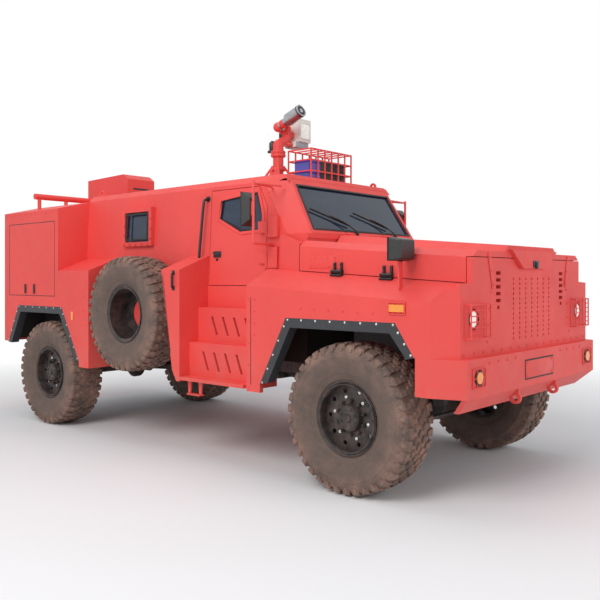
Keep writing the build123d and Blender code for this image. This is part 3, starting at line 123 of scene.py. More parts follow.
def spun(bm, verts, edges, axis, steps):
    """Turns an outline all the way round an axis through the origin."""
    bmesh.ops.spin(bm, geom=verts + edges, cent=(0, 0, 0), axis=axis, dvec=(0, 0, 0), angle=FULL_TURN,
                   steps=steps, use_merge=True, use_duplicate=False)


def add_box(bm, low, high, bevel=0.0, segments=2):
    """A box from corner to corner, its edges rounded by bevel."""
    low, high = Vector(low), Vector(high)
    made = bmesh.ops.create_cube(bm, size=1.0)["verts"]
    bmesh.ops.scale(bm, vec=high - low, verts=made)
    if bevel:
        made = bevelled(bm, edges_of(made), bevel, segments)
    bmesh.ops.translate(bm, vec=(low + high) / 2, verts=made)
    return made


def add_rod(bm, start, end, radius, end_radius=None, segments=20, bevel=0.0):
    """A round bar or cone between two points."""
    start, end = Vector(start), Vector(end)
    run = end - start
    made = bmesh.ops.create_cone(bm, cap_ends=True, segments=segments, radius1=radius,
                                 radius2=radius if end_radius is None else end_radius,
                                 depth=run.length)["verts"]
    if bevel:
        rims = [edge for edge in edges_of(made) if any(len(face.verts) > 4 for face in edge.link_faces)]
        made = [vert for vert in {*made, *bevelled(bm, rims, bevel)} if vert.is_valid]
    turn = Vector((0, 0, 1)).rotation_difference(run.normalized()).to_matrix().to_4x4()
    spread(made, Matrix.Translation((start + end) / 2) @ turn)
    return made


def add_bolt(bm, place, normal, radius, height=0.006):
    """A bolt head with a thin washer, standing on a surface."""
    place, normal = Vector(place), Vector(normal).normalized()
    add_rod(bm, place - normal * 0.002, place + normal * height * 0.3, radius * 1.45, segments=12)
    add_rod(bm, place, place + normal * height, radius, radius * 0.92, segments=6)


def add_pipe(bm, points, radius, sides=8, closed=False, order=3):
    """A round tube along a smooth line through the space between the points."""
    curve = bpy.data.curves.new("pipe", "CURVE")
    curve.dimensions = "3D"
    curve.bevel_depth = radius
    curve.bevel_resolution = sides // 4
    curve.use_fill_caps = True
    curve.resolution_u = 6
    spline = curve.splines.new("NURBS" if order > 2 else "POLY")
    spline.points.add(len(points) - 1)
    for point, place in zip(spline.points, points):
        point.co = (*place, 1.0)
    spline.use_cyclic_u = closed
    if order > 2:
        spline.order_u = order
        spline.use_endpoint_u = not closed
    holder = bpy.data.objects.new("pipe", curve)
    mesh = bpy.data.meshes.new_from_object(holder)
    before = set(bm.verts)
    bm.from_mesh(mesh)
    bpy.data.objects.remove(holder)
    bpy.data.curves.remove(curve)
    bpy.data.meshes.remove(mesh)
    return new_verts(bm, before)


def flat(axis):
    """How a pair of numbers and a level become a place, for a flat shape across an axis."""
    return {
        "x": lambda a, b, level: (level, a, b),
        "y": lambda a, b, level: (a, level, b),
        "z": lambda a, b, level: (a, b, level),
    }[axis]


def raised(bm, faces, step):
    """Makes flat faces solid by a step, and gives the corners on the far side."""
    made = bmesh.ops.extrude_face_region(bm, geom=faces, use_keep_orig=True)["geom"]
    top = [item for item in made if isinstance(item, bmesh.types.BMVert)]
    bmesh.ops.translate(bm, vec=step, verts=top)
    return top


def add_plate(bm, outline, axis, low, high):
    """A flat plate: the outline, given as pairs, is extruded along an axis between two levels."""
    spots = flat(axis)
    before = set(bm.verts)
    face = bm.faces.new([bm.verts.new(spots(a, b, low)) for a, b in outline])
    raised(bm, [face], spots(0, 0, high - low))
    return new_verts(bm, before)


def add_frame(bm, outline, axis, low, high, width, bevel=0.0):
    """A flat band that runs round an outline, such as a window's rubber."""
    spots = flat(axis)
    before = set(bm.verts)
    face = bm.faces.new([bm.verts.new(spots(a, b, low)) for a, b in outline])
    face.normal_update()
    ring = bmesh.ops.inset_region(bm, faces=[face], thickness=width, use_even_offset=True,
                                  use_boundary=True)["faces"]
    bmesh.ops.delete(bm, geom=[face], context="FACES_ONLY")
    top = raised(bm, ring, spots(0, 0, high - low))
    if bevel:
        rims = [edge for edge in edges_of(top)
                if all(end in top for end in edge.verts) and len(edge.link_faces) == 2
                and not all(all(v in top for v in f.verts) for f in edge.link_faces)]
        bevelled(bm, rims, bevel)
    return new_verts(bm, before)


def both_sides(bm):
    """Repeats everything in the mesh on the other side of the vehicle."""
    bmesh.ops.mirror(bm, geom=bm.verts[:] + bm.edges[:] + bm.faces[:], axis="Y", merge_dist=0.0)


def other_side(bm):
    """Moves everything in the mesh to the other side of the vehicle."""
    bmesh.ops.scale(bm, vec=(1, -1, 1), verts=bm.verts)


def make_piece(name, bm, finish, body="chassis", slot=None, sharp=SHARP_ANGLE):
    """Turns a bmesh into a finished piece that rides on a body."""
    slot = slot or SLOT_OF.get(finish, finish)
    bmesh.ops.recalc_face_normals(bm, faces=bm.faces)
    mesh = bpy.data.meshes.new(name)
    bm.to_mesh(mesh)
    bm.free()
    mesh.shade_smooth()
    mesh.set_sharp_from_angle(angle=sharp)
    piece = bpy.data.objects.new(name, mesh)
    bpy.context.scene.collection.objects.link(piece)
    mesh.materials.append(FINISHES[finish])
    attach(piece, body)
    return piece


# Finishes

def shade(colour, factor, lift=0.0):
    """The colour made darker or lighter."""
    return tuple(min(1.0, value * factor + lift) for value in colour)


class Nodes:
    """A node tree, with short ways to add nodes whose inputs are constants or other nodes."""

    def __init__(self, tree):
        self.tree = tree

    def feed(self, node, inputs):
        for key, value in inputs.items():
            socket = node.inputs[key]
            if isinstance(value, bpy.types.NodeSocket):
                self.tree.links.new(value, socket)
            elif socket.type == "RGBA":
                socket.default_value = (*value, 1.0)
            else:
                socket.default_value = value

    def node(self, kind, inputs=None, **properties):
        node = self.tree.nodes.new(f"ShaderNode{kind}")
        for key, value in properties.items():
            setattr(node, key, value)
        self.feed(node, inputs or {})
        return node

    def maths(self, operation, a, b=0.0):
        return self.node("Math", {0: a, 1: b}, operation=operation).outputs["Value"]

    def length(self, vector):
        return self.node("VectorMath", {0: vector}, operation="LENGTH").outputs["Value"]

    def parts(self, vector):
        """The vector's X, Y and Z."""
        return tuple(self.node("SeparateXYZ", {"Vector": vector}).outputs)

    def span(self, value, low, high, to_low=0.0, to_high=1.0):
        """The value stretched from one range to another and held inside it."""
        return self.node("MapRange", {"Value": value, "From Min": low, "From Max": high,
                                      "To Min": to_low, "To Max": to_high}).outputs["Result"]

    def within(self, value, low, high):
        """1 where the value lies between two limits."""
        above, below = self.maths("GREATER_THAN", value, low), self.maths("LESS_THAN", value, high)
        return self.maths("MULTIPLY", above, below)

    def mixed(self, factor, a, b):
        """Colour a where the factor is 0 and colour b where it is 1."""
        return self.node("Mix", {0: factor, 6: a, 7: b}, data_type="RGBA").outputs[2]

    def backdrop(self, factor, lit, shown):
        """The lit shader, and the shown one for rays that see the backdrop, directly or in a reflection."""
        path = self.node("LightPath").outputs
        seen = self.maths("MAXIMUM", self.maths("MAXIMUM", path["Is Camera Ray"], path["Is Glossy Ray"]),
                          path["Is Transmission Ray"])
        return self.node("MixShader", {0: self.maths("MULTIPLY", factor, seen), 1: lit, 2: shown}).outputs[0]


class Finish(Nodes):
    """A material being made: its nodes, its shader and the object's own coordinates."""

    def __init__(self, name):
        self.material = bpy.data.materials.new(name)
        self.material.use_nodes = True
        super().__init__(self.material.node_tree)
        self.shader = self.tree.nodes["Principled BSDF"]
        self.place = self.node("TexCoord").outputs["Object"]

    def moved(self, shift=(0, 0, 0), stretch=(1, 1, 1)):
        inputs = {"Vector": self.place, "Location": shift, "Scale": stretch}
        return self.node("Mapping", inputs).outputs["Vector"]

    def noise(self, scale, detail=4.0, roughness=0.55, at=None):
        return self.node("TexNoise", {"Vector": self.place if at is None else at, "Scale": scale,
                                      "Detail": detail, "Roughness": roughness}).outputs["Fac"]

    def uneven(self, scale, detail, low, high, at=None):
        """A value that wanders between two limits over the surface."""
        return self.span(self.noise(scale, detail, at=at), 0.3, 0.7, low, high)

    def done(self, colour, rough, bump=None, **inputs):
        """Feeds the shader, with bump as a height, its strength and its distance; returns the material."""
        if bump:
            bump = self.node("Bump", dict(zip(("Height", "Strength", "Distance"), bump))).outputs["Normal"]
            inputs["Normal"] = bump
        self.feed(self.shader, {"Base Color": colour, "Roughness": rough, **inputs})
        return self.material


def arch_shade_mask(paint):
    """1 on the faces behind the wheels, where painted shade darkens the paint to near black."""
    x, y, z = paint.parts(paint.place)
    inner = paint.maths("LESS_THAN", paint.maths("ABSOLUTE", y), ARCH_INNER_Y)
    low = paint.maths("LESS_THAN", z, ARCH_TOP_Z)
    near = paint.maths("MAXIMUM", *(paint.within(x, start, end) for start, end in ARCH_SPANS))
    return paint.maths("MULTIPLY", paint.maths("MULTIPLY", inner, low), near)


def body_paint(name, colour, dust=(0.50, 0.30, 0.22), arch_shade_colour=(0.020, 0.016, 0.015)):
    """Sprayed enamel: slight cloudiness, fine orange peel, road dust towards the sills, and painted shade,
    near black, on the faces behind the wheels.
    """
    paint = Finish(name)
    clouds = paint.mixed(paint.uneven(1.6, 5.0, 0.0, 1.0), shade(colour, 0.94), shade(colour, 1.05))
    low = paint.span(paint.parts(paint.place)[2], 1.25, 0.65)
    patches = paint.span(paint.noise(5.0, 8.0, 0.7), 0.35, 0.75)
    dusty = paint.maths("MULTIPLY", paint.maths("MULTIPLY", low, patches), 0.30)
    # Painted shade: the faces behind the wheels are mixed to a near-black colour.
    painted = paint.mixed(arch_shade_mask(paint), paint.mixed(dusty, clouds, dust), arch_shade_colour)
    return paint.done(painted, paint.uneven(9.0, 6.0, 0.44, 0.58), (paint.noise(260.0, 2.0), 0.10, 0.0006),
                      **{"Specular IOR Level": 0.3, "Coat Weight": 0.05, "Coat Roughness": 0.3})


def dusted_paint(name, colour, dust=(0.23, 0.15, 0.12), amount=0.45, rough=0.5):
    """Dark satin paint with dust caught in patches."""
    paint = Finish(name)
    patches = paint.span(paint.noise(11.0, 8.0, 0.7), 0.42, 0.72, 0.0, amount)
    return paint.done(paint.mixed(patches, colour, dust), paint.uneven(25.0, 5.0, rough - 0.12, rough + 0.15),
                      (paint.noise(180.0, 3.0), 0.25, 0.0008))


def tyre_rubber(name, colour, centre, dust=(0.42, 0.24, 0.18)):
    """Worn tyre rubber, with rings of dust on the sidewall and red earth in the tread."""
    rubber = Finish(name)
    local = rubber.moved(shift=-centre)
    x, _, z = rubber.parts(local)
    radius = rubber.length(rubber.node("CombineXYZ", {"X": x, "Z": z}).outputs["Vector"])
    rings = rubber.maths("SINE", rubber.maths("MULTIPLY", radius, 620.0))
    streaks = rubber.span(rings, -1.0, 1.0, 0.0, 0.16)
    clouds = rubber.span(rubber.noise(6.0, 8.0, 0.7, local), 0.35, 0.70, 0.0, 0.75)
    outer = rubber.span(radius, 0.40, 0.56, 0.25, 1.0)
    dusty = rubber.maths("ADD", rubber.maths("MULTIPLY", clouds, outer), streaks)
    height = rubber.maths("ADD", rubber.noise(120.0, 5.0, at=local), streaks)
    return rubber.done(rubber.mixed(dusty, colour, dust), rubber.uneven(30.0, 4.0, 0.68, 0.92, local),
                       (height, 0.5, 0.002))


def window_glass(name, colour):
    """Thick tinted glass with faint smears."""
    glass = Finish(name)
    smear = glass.span(glass.noise(3.0, 6.0, at=glass.moved(stretch=(1, 1, 3))), 0.35, 0.75, 0.0, 0.35)
    return glass.done(glass.mixed(smear, colour, shade(colour, 1.6, 0.02)),
                      glass.span(glass.noise(14.0, 5.0), 0.4, 0.8, 0.05, 0.14),
                      **{"Transmission Weight": 0.15, "IOR": 1.45})


def grained_plastic(name, colour, scale=420.0, rough=0.55):
    """Moulded plastic or rubber with a fine grain and pale scuffs."""
    plastic = Finish(name)
    scuffs = plastic.span(plastic.noise(18.0, 9.0, 0.75), 0.52, 0.80, 0.0, 0.30)
    return plastic.done(plastic.mixed(scuffs, colour, shade(colour, 0.6, 0.10)),
                        plastic.uneven(40.0, 4.0, rough - 0.1, rough + 0.12),
                        (plastic.noise(scale, 2.0), 0.30, 0.0008))


def mirror_finish(name, shell, arm):
    """Dark moulded mirror shells on painted arms and brackets."""
    plastic = Finish(name)
    x, _, z = plastic.parts(plastic.place)
    beside_door = plastic.maths("MULTIPLY", plastic.maths("LESS_THAN", x, MIRROR_SHELL_FRONT),
                                plastic.within(z, MIRROR_SHELL_FOOT, MIRROR_SHELL_HEAD))
    over_wing = plastic.maths("MULTIPLY", plastic.maths("GREATER_THAN", x, 2.0),
                              plastic.maths("GREATER_THAN", z, WING_MIRROR_FOOT - 0.001))
    shells = plastic.maths("MAXIMUM", beside_door, over_wing)
    return plastic.done(plastic.mixed(shells, arm, shell), plastic.uneven(40.0, 4.0, 0.34, 0.50),
                        (plastic.noise(500.0, 2.0), 0.20, 0.0006))


def metal(name, colour, rough=0.3, grain=(1, 1, 1)):
    """Bare or plated metal with a directional grain and dull spots."""
    bare = Finish(name)
    dull = bare.span(bare.noise(30.0, 6.0), 0.4, 0.75)
    streak = bare.noise(160.0, 3.0, at=bare.moved(stretch=grain))
    return bare.done(bare.mixed(dull, colour, shade(colour, 0.72)),
                     bare.span(streak, 0.3, 0.7, rough - 0.08, rough + 0.14), (streak, 0.12, 0.0004),
                     Metallic=1.0)


def ribbed_lens(name, colour, glow, clear=0.2, rib_scale=17.444):
    """Moulded lamp lens with fine ribs."""
    lens = Finish(name)
    inputs = {"Vector": lens.place, "Scale": rib_scale}
    ribs = lens.node("TexWave", inputs, bands_direction="Y").outputs["Fac"]
    return lens.done(lens.mixed(lens.span(ribs, 0.0, 1.0, 0.0, 0.4), colour, shade(colour, 1.25, 0.03)), 0.12,
                     (ribs, 0.35, 0.0015),
                     **{"Transmission Weight": clear, "Coat Weight": 0.6, "Coat Roughness": 0.05,
                        "Emission Color": colour, "Emission Strength": glow})


def woven_cloth(name, colour):
    """Coarse seat cloth in a plain weave."""
    cloth = Finish(name)
    waves = [cloth.node("TexWave", {"Vector": cloth.place, "Scale": 90.0, "Distortion": 0.4},
                        bands_direction=direction).outputs["Fac"] for direction in "XYZ"]
    weave = cloth.maths("ADD", cloth.maths("ADD", waves[0], waves[1]), waves[2])
    return cloth.done(cloth.mixed(cloth.span(weave, 0.6, 2.4), shade(colour, 0.7), shade(colour, 1.3)), 0.9,
                      (weave, 0.4, 0.001), **{"Sheen Weight": 0.3})


FINISHES = {}
SLOT_OF = {  # the frame's slot for each finish that has none of its own name
    "mirror_shell": "black_paint",
    "black_rubber": "flare_rubber",
    "mirror": "mirror_shell",
    "red_lens": "amber_lens",
    "grey_casing": "pale_casing",
    "dark_steel": "black_paint",
}


# User settings

class PaintSettings(bpy.types.PropertyGroup):
    """Colours that an owner would change."""

    body: FloatVectorProperty(name="Body paint", description="Colour of the panels", subtype="COLOR",
                              size=3, min=0.0, max=1.0, default=(0.83, 0.085, 0.075))
    rim: FloatVectorProperty(name="Rim paint", description="Colour of the rims and axles", subtype="COLOR",
                             size=3, min=0.0, max=1.0, default=(0.022, 0.018, 0.018))
    rubber: FloatVectorProperty(name="Tyre rubber", description="Colour of clean tyre rubber",
                                subtype="COLOR", size=3, min=0.0, max=1.0, default=(0.085, 0.068, 0.058))
    glass: FloatVectorProperty(name="Glass tint", description="Colour of the windows", subtype="COLOR",
                               size=3, min=0.0, max=1.0, default=(0.018, 0.034, 0.066))
    beacon: FloatVectorProperty(name="Beacon", description="Colour of the beacon's lens", subtype="COLOR",
                                size=3, min=0.0, max=1.0, default=(0.04, 0.04, 0.42))


class TreadSettings(bpy.types.PropertyGroup):
    """Shape of the tyres' tread."""

    lugs: IntProperty(name="Lugs", description="Shoulder lugs round each tyre", default=38, min=20, max=60)
    depth: FloatProperty(name="Tread depth", description="Height of the lugs", default=0.017, min=0.004,
                         max=0.03, unit="LENGTH")
    groove: FloatProperty(name="Groove share", description="Share of the pitch left open between lugs",
                          default=0.34, min=0.1, max=0.6)


class FittingSettings(bpy.types.PropertyGroup):
    """Sizes of small fittings."""

    bolt: FloatProperty(name="Bolt radius", description="Radius of the panel bolts", default=0.010,
                        min=0.003, max=0.02, unit="LENGTH")
    guard_wire: FloatProperty(name="Guard wire", description="Radius of the lamp guards' wire",
                              default=0.0045, min=0.002, max=0.01, unit="LENGTH")
    handle: FloatProperty(name="Handle radius", description="Radius of the grab handles", default=0.014,
                          min=0.006, max=0.03, unit="LENGTH")


class VEHICLE_OT_finishes(bpy.types.Operator):
    """Make the materials and give them to the frame's nodes"""

    bl_idname = "vehicle.finishes"
    bl_label = "Finishes"

    def execute(self, context):
        paint = context.scene.vehicle_paint
        FINISHES.update({
            "red_paint": body_paint("red enamel", tuple(paint.body)),
            "black_paint": dusted_paint("dusty black paint", tuple(paint.rim)),
            "spring_steel": dusted_paint("spring paint", (0.030, 0.028, 0.028), rough=0.6),
            "flare_rubber": grained_plastic("flare rubber", (0.030, 0.032, 0.036), 300.0, 0.5),
            "window_glass": window_glass("tinted glass", tuple(paint.glass)),
            "mirror_shell": grained_plastic("mirror shell", (0.014, 0.014, 0.016), 500.0, 0.42),
            "black_rubber": grained_plastic("black rubber", (0.012, 0.012, 0.013), 380.0, 0.62),
            "mirror": metal("mirror glass", (0.82, 0.84, 0.86), 0.08),
            "lamp_lens": ribbed_lens("headlamp lens", (0.86, 0.84, 0.80), 0.25, 0.35),
            "amber_lens": ribbed_lens("amber lens", (0.95, 0.30, 0.02), 0.12),
            "red_lens": ribbed_lens("red lens", (0.55, 0.01, 0.01), 0.05),
            "beacon_plastic": ribbed_lens("beacon lens", tuple(paint.beacon), 0.10),
            "engine_iron": dusted_paint("cast iron", (0.11, 0.11, 0.115), rough=0.6),
            "seat_cloth": woven_cloth("seat cloth", (0.060, 0.060, 0.066)),
            "dash_plastic": grained_plastic("dash plastic", (0.035, 0.036, 0.038)),
            "pale_casing": dusted_paint("pale casing", (0.84, 0.82, 0.76), (0.60, 0.54, 0.45), 0.25, 0.4),
            "grey_casing": dusted_paint("grey casing", (0.36, 0.38, 0.42), (0.50, 0.46, 0.42), 0.25, 0.4),
            "nozzle_alloy": metal("nozzle alloy", (0.42, 0.43, 0.45), 0.32, (1, 1, 6)),
            "plated_steel": metal("plated steel", (0.80, 0.80, 0.78), 0.22),
            "reflector": metal("lamp reflector", (0.95, 0.95, 0.93), 0.12),
            "dark_steel": metal("dark steel", (0.16, 0.16, 0.17), 0.42),
        })
        for node, centre in TYRES:
            FINISHES[node] = tyre_rubber(f"{node} rubber", tuple(paint.rubber), centre)
        mirrors = mirror_finish("mirror shells and arms", (0.020, 0.020, 0.021), tuple(paint.body))
        for node in ("door_mirror_left", "door_mirror_right", "hood_mirrors"):
            FINISHES[node] = mirrors
        for part in frame["record"]["subparts"]:
            node = frame["nodes"][part["node"]]
            finish = FINISHES.get(part["node"], FINISHES.get(part["material_slot"]))
            node.data.materials.clear()
            node.data.materials.append(finish)
        return {"FINISHED"}


class VEHICLE_OT_tyres(bpy.types.Operator):
    """Build the five tyres with their lugs"""

    bl_idname = "vehicle.tyres"
    bl_label = "Tyres"

    def execute(self, context):
        tread = context.scene.vehicle_tread
        for node, centre in TYRES:
            bm = self.carcass(tread)
            self.lugs(bm, tread)
            bmesh.ops.translate(bm, vec=centre, verts=bm.verts)
            piece = make_piece(f"{node}_treaded", bm, node, BODY_OF[node], "tyre_rubber")
            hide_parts(node)
        return {"FINISHED"}

    def carcass(self, tread):
        """The casing under the lugs, spun from its outer and inner outline."""
        crown = AXLE_Z - tread.depth
        half = [  # radius, distance from the middle plane
            (0.2652, 0.118), (0.272, 0.131), (0.286, 0.137), (0.294, 0.133), (0.300, 0.141), (0.322, 0.149),
            (0.330, 0.155), (0.336, 0.155), (0.342, 0.161), (0.385, 0.178), (0.430, 0.1885), (0.470, 0.190),
            (0.474, 0.1925), (0.482, 0.1925), (0.486, 0.189), (0.520, 0.184), (crown - 0.028, 0.172),
            (crown - 0.010, 0.158), (crown, 0.120), (crown + 0.001, 0.060), (crown + 0.0015, 0.0),
        ]
        lining = [
            (0.548, 0.0), (0.546, 0.12), (0.520, 0.150), (0.430, 0.166), (0.330, 0.140), (0.2652, 0.100),
        ]
        outline = [(r, -y) for r, y in half] + [(r, y) for r, y in reversed(half[:-1])]
        outline += [(r, y) for r, y in reversed(lining)] + [(r, -y) for r, y in lining[1:]]
        bm = bmesh.new()
        verts = [bm.verts.new((0.0, y, r)) for r, y in outline]
        edges = [bm.edges.new((a, b)) for a, b in zip(verts, verts[1:] + verts[:1])]
        spun(bm, verts, edges, (0, 1, 0), 96)
        bmesh.ops.remove_doubles(bm, verts=bm.verts, dist=1e-5)
        return bm

    def lugs(self, bm, tread):
        """Shoulder lugs, staggered side to side, the biters below them and blocks between them."""
        pitch = FULL_TURN / tread.lugs
        length = AXLE_Z * pitch * (1 - tread.groove)
        base = AXLE_Z - tread.depth - 0.006
        for side in (-1, 1):
            turn = Matrix.Rotation(pitch / 4 * side, 4, "Y")
            shoulder = add_box(bm, (-length / 2, 0.098, base), (length / 2, 0.170, AXLE_Z), 0.005, 1)
            for vert in shoulder:
                if vert.co.y > 0.15:
                    vert.co.z -= 0.013 if vert.co.z > base + 0.008 else 0.030
                    vert.co.y += 0.010
                if vert.co.y < 0.11:
                    vert.co.x *= 0.72
            biter = add_box(bm, (-length * 0.36, 0.166, 0.516), (length * 0.36, 0.1905, 0.566), 0.004, 1)
            for vert in biter:
                if vert.co.z < 0.53:
                    vert.co.x *= 0.6
                if vert.co.z > 0.55:
                    vert.co.y -= 0.004
            self.round_tyre(bm, shoulder + biter, turn, side, tread.lugs)
        for y, phase in ((-0.058, 0.62), (0.0, 0.12), (0.058, 0.62)):
            block = bmesh.ops.create_cone(bm, cap_ends=True, segments=6, radius1=0.034, radius2=0.029,
                                          depth=tread.depth + 0.006)["verts"]
            bmesh.ops.scale(bm, vec=(1.02, 0.88, 1.0), verts=block)
            bmesh.ops.translate(bm, vec=(0, y, AXLE_Z - (tread.depth + 0.006) / 2), verts=block)
            self.round_tyre(bm, block, Matrix.Rotation(phase * pitch, 4, "Y"), 1, tread.lugs)

    def round_tyre(self, bm, verts, turn, side, count):
        """Repeats a lug round the tyre, its corners kept inside the tyre's radius."""
        limit = AXLE_Z - 0.0003
        for vert in verts:
            vert.co.y *= side
            reach = math.hypot(vert.co.x, vert.co.z)
            if reach > limit:
                vert.co.x *= limit / reach
                vert.co.z *= limit / reach
        spread(verts, turn)
        geom = list({item for vert in verts for item in (vert, *vert.link_edges, *vert.link_faces)})
        pitch = FULL_TURN / count
        bmesh.ops.spin(bm, geom=geom, cent=(0, 0, 0), axis=(0, 1, 0), dvec=(0, 0, 0),
                       angle=pitch * (count - 1), steps=count - 1, use_merge=False, use_duplicate=True)


class VEHICLE_OT_wheel_fittings(bpy.types.Operator):
    """Add nuts, bright studs, the hub plate and the valve to each wheel"""

    bl_idname = "vehicle.wheel_fittings"
    bl_label = "Wheel fittings"

    def execute(self, context):
        for name, centre in WHEELS:
            dark, bright = bmesh.new(), bmesh.new()
            self.dark_parts(dark)
            self.bright_parts(bright)
            for label, bm, finish in (("hub_parts", dark, "black_paint"),
                                      ("wheel_studs", bright, "plated_steel")):
                if centre.y < 0:
                    other_side(bm)
                bmesh.ops.translate(bm, vec=centre, verts=bm.verts)
                make_piece(f"{label}_{name}", bm, finish, f"wheel_{name}", "black_paint")
        return {"FINISHED"}

    def dark_parts(self, bm):
        """The hub plate with its bolts, the wheel nuts and the bead ring."""
        disc = 0.072
        add_rod(bm, (0, disc + 0.040, 0), (0, disc + 0.052, 0), 0.090, 0.084, 48)
        add_rod(bm, (0, disc + 0.050, 0), (0, disc + 0.064, 0), 0.034, 0.028, 24)
        for place in self.circle(8, 0.070, disc + 0.052, 0.5):
            add_bolt(bm, place, (0, 1, 0), 0.007)
        for place in self.circle(10, 0.132, disc, 0.5):
            add_rod(bm, place, place + Vector((0, 0.022, 0)), 0.017, 0.015, 6)
            add_rod(bm, place + Vector((0, 0.02, 0)), place + Vector((0, 0.034, 0)), 0.010, 0.009, 12)
        ring = bmesh.ops.create_circle(bm, cap_ends=False, radius=0.0075, segments=10)["verts"]
        spread(ring, Matrix.Translation((0.262, 0.146, 0)))
        spun(bm, ring, edges_of(ring), (0, 1, 0), 64)

    def bright_parts(self, bm):
        """Studs between the hand holes, and the tyre valve."""
        for place in self.circle(6, 0.163, 0.072, 0.8):
            add_rod(bm, place, place + Vector((0, 0.010, 0)), 0.014, 0.013, 6)
            add_rod(bm, place, place + Vector((0, 0.018, 0)), 0.008, 0.006, 12)
        valve = [(0.205, 0.070, 0.085), (0.220, 0.095, 0.092), (0.236, 0.120, 0.098), (0.240, 0.146, 0.100)]
        add_pipe(bm, valve, 0.0045)

    def circle(self, count, radius, y, phase):
        """Evenly spaced places round the wheel's axis, the first one at a share of the spacing."""
        for index in range(count):
            angle = FULL_TURN * (index + phase) / count
            yield Vector((radius * math.cos(angle), y, radius * math.sin(angle)))


def lean(verts):
    """Lays what was modelled flat, with Y as its stand-off, on the cab's leaning left side."""
    for vert in verts:
        vert.co.y += side_y(vert.co.z)


def tilted(origin, up, outward):
    """A matrix whose X runs across the vehicle, Y up along a sloping panel and Z off its face."""
    up, outward = Vector(up).normalized(), Vector(outward).normalized()
    matrix = Matrix((up.cross(outward), up, outward)).transposed().to_4x4()
    return Matrix.Translation(origin) @ matrix


def along(points, count):
    """Evenly spaced places on a run of straight lines, its ends included."""
    lengths = [(Vector(b) - Vector(a)).length for a, b in zip(points, points[1:])]
    total = sum(lengths)
    for index in range(count):
        left = total * index / (count - 1)
        for (a, b), length in zip(zip(points, points[1:]), lengths):
            if left <= length + 1e-9:
                yield Vector(a).lerp(Vector(b), left / length)
                break
            left -= length


def crease_z(x):
    """Height of the crease under the bonnet's side."""
    return 1.628 + 0.061 * (NOSE_X - x)


class VEHICLE_OT_arch_fittings(bpy.types.Operator):
    """Bolt the flares down"""

    bl_idname = "vehicle.arch_fittings"
    bl_label = "Arch fittings"

    def execute(self, context):
        radius = context.scene.vehicle_fittings.bolt
        flares = [  # middle line of each leg as x and z, and its bolts
            ([(1.275, 0.790), (1.520, 1.270)], 5),
            ([(1.560, 1.325), (2.580, 1.325)], 8),
            ([(2.622, 1.270), (2.730, 1.115)], 3),
            ([(-2.985, 0.920), (-2.800, 1.262)], 4),
            ([(-2.745, 1.325), (-1.830, 1.325)], 7),
            ([(-1.785, 1.262), (-1.503, 0.790)], 5),
        ]
        bolts = bmesh.new()
        for line, count in flares:
            for spot in along(line, count):
                add_bolt(bolts, (spot.x, SIDE_Y, spot.y), (0, 1, 0), radius * 0.6, 0.005)
        both_sides(bolts)
        make_piece("flare_bolts", bolts, "plated_steel", slot="flare_rubber")
        return {"FINISHED"}


class VEHICLE_OT_door_fittings(bpy.types.Operator):
    """Add the handles, hinges' bolts and window rubber to both front doors"""

    bl_idname = "vehicle.door_fittings"
    bl_label = "Door fittings"

    def execute(self, context):
        fittings = context.scene.vehicle_fittings
        for body, flip in (("left_door", False), ("right_door", True)):
            dark, seal, bolts = bmesh.new(), bmesh.new(), bmesh.new()
            self.handle(dark)
            self.window_rubber(seal)
            self.window_frame(bolts)
            self.hinge_bolts(bolts, fittings.bolt)
            for name, bm, finish in (("handle", dark, "mirror_shell"),
                                     ("window_rubber", seal, "black_rubber"),
                                     ("frame_and_bolts", bolts, "red_paint")):
                if flip:
                    other_side(bm)
                make_piece(f"{body}_{name}", bm, finish, body)
        return {"FINISHED"}

    def handle(self, bm):
        """A lever over a dished plate, with its lock below."""
        verts = add_box(bm, (0.268, -0.002, 1.858), (0.372, 0.006, 1.918), 0.003)
        verts += add_pipe(bm, [(0.282, 0.004, 1.905), (0.282, 0.026, 1.905), (0.310, 0.034, 1.897),
                               (0.350, 0.034, 1.888), (0.366, 0.028, 1.884)], 0.008, 12)
        verts += add_rod(bm, (0.320, 0.0, 1.838), (0.320, 0.012, 1.838), 0.013, 0.011, 20)
        lean(verts)

    def window_rubber(self, bm):
        """A flat rubber band round the door's six-cornered window."""
        lean(add_frame(bm, self.grown(WINDOW_OUTLINE, -0.006), "y", -0.012, 0.001, 0.010))

    def window_frame(self, bm):
        """The raised steel frame round the window."""
        lean(add_frame(bm, self.grown(WINDOW_OUTLINE, 0.032), "y", -0.001, 0.009, 0.028, 0.003))

    def grown(self, outline, step):
        """The outline moved outwards by step, from its middle."""
        middle = sum((Vector(spot) for spot in outline), Vector((0, 0))) / len(outline)
        return [tuple(Vector(spot) + (Vector(spot) - middle).normalized() * step * 1.15) for spot in outline]

    def hinge_bolts(self, bm, radius):
        """Four bolts on the door's leaf of each hinge."""
        for z in (1.845, 2.120):
            for x in (0.905, 0.935):
                for height in (z - 0.026, z + 0.026):
                    add_bolt(bm, (x, side_y(height), height), (0, 1, 0.05), radius * 0.8)


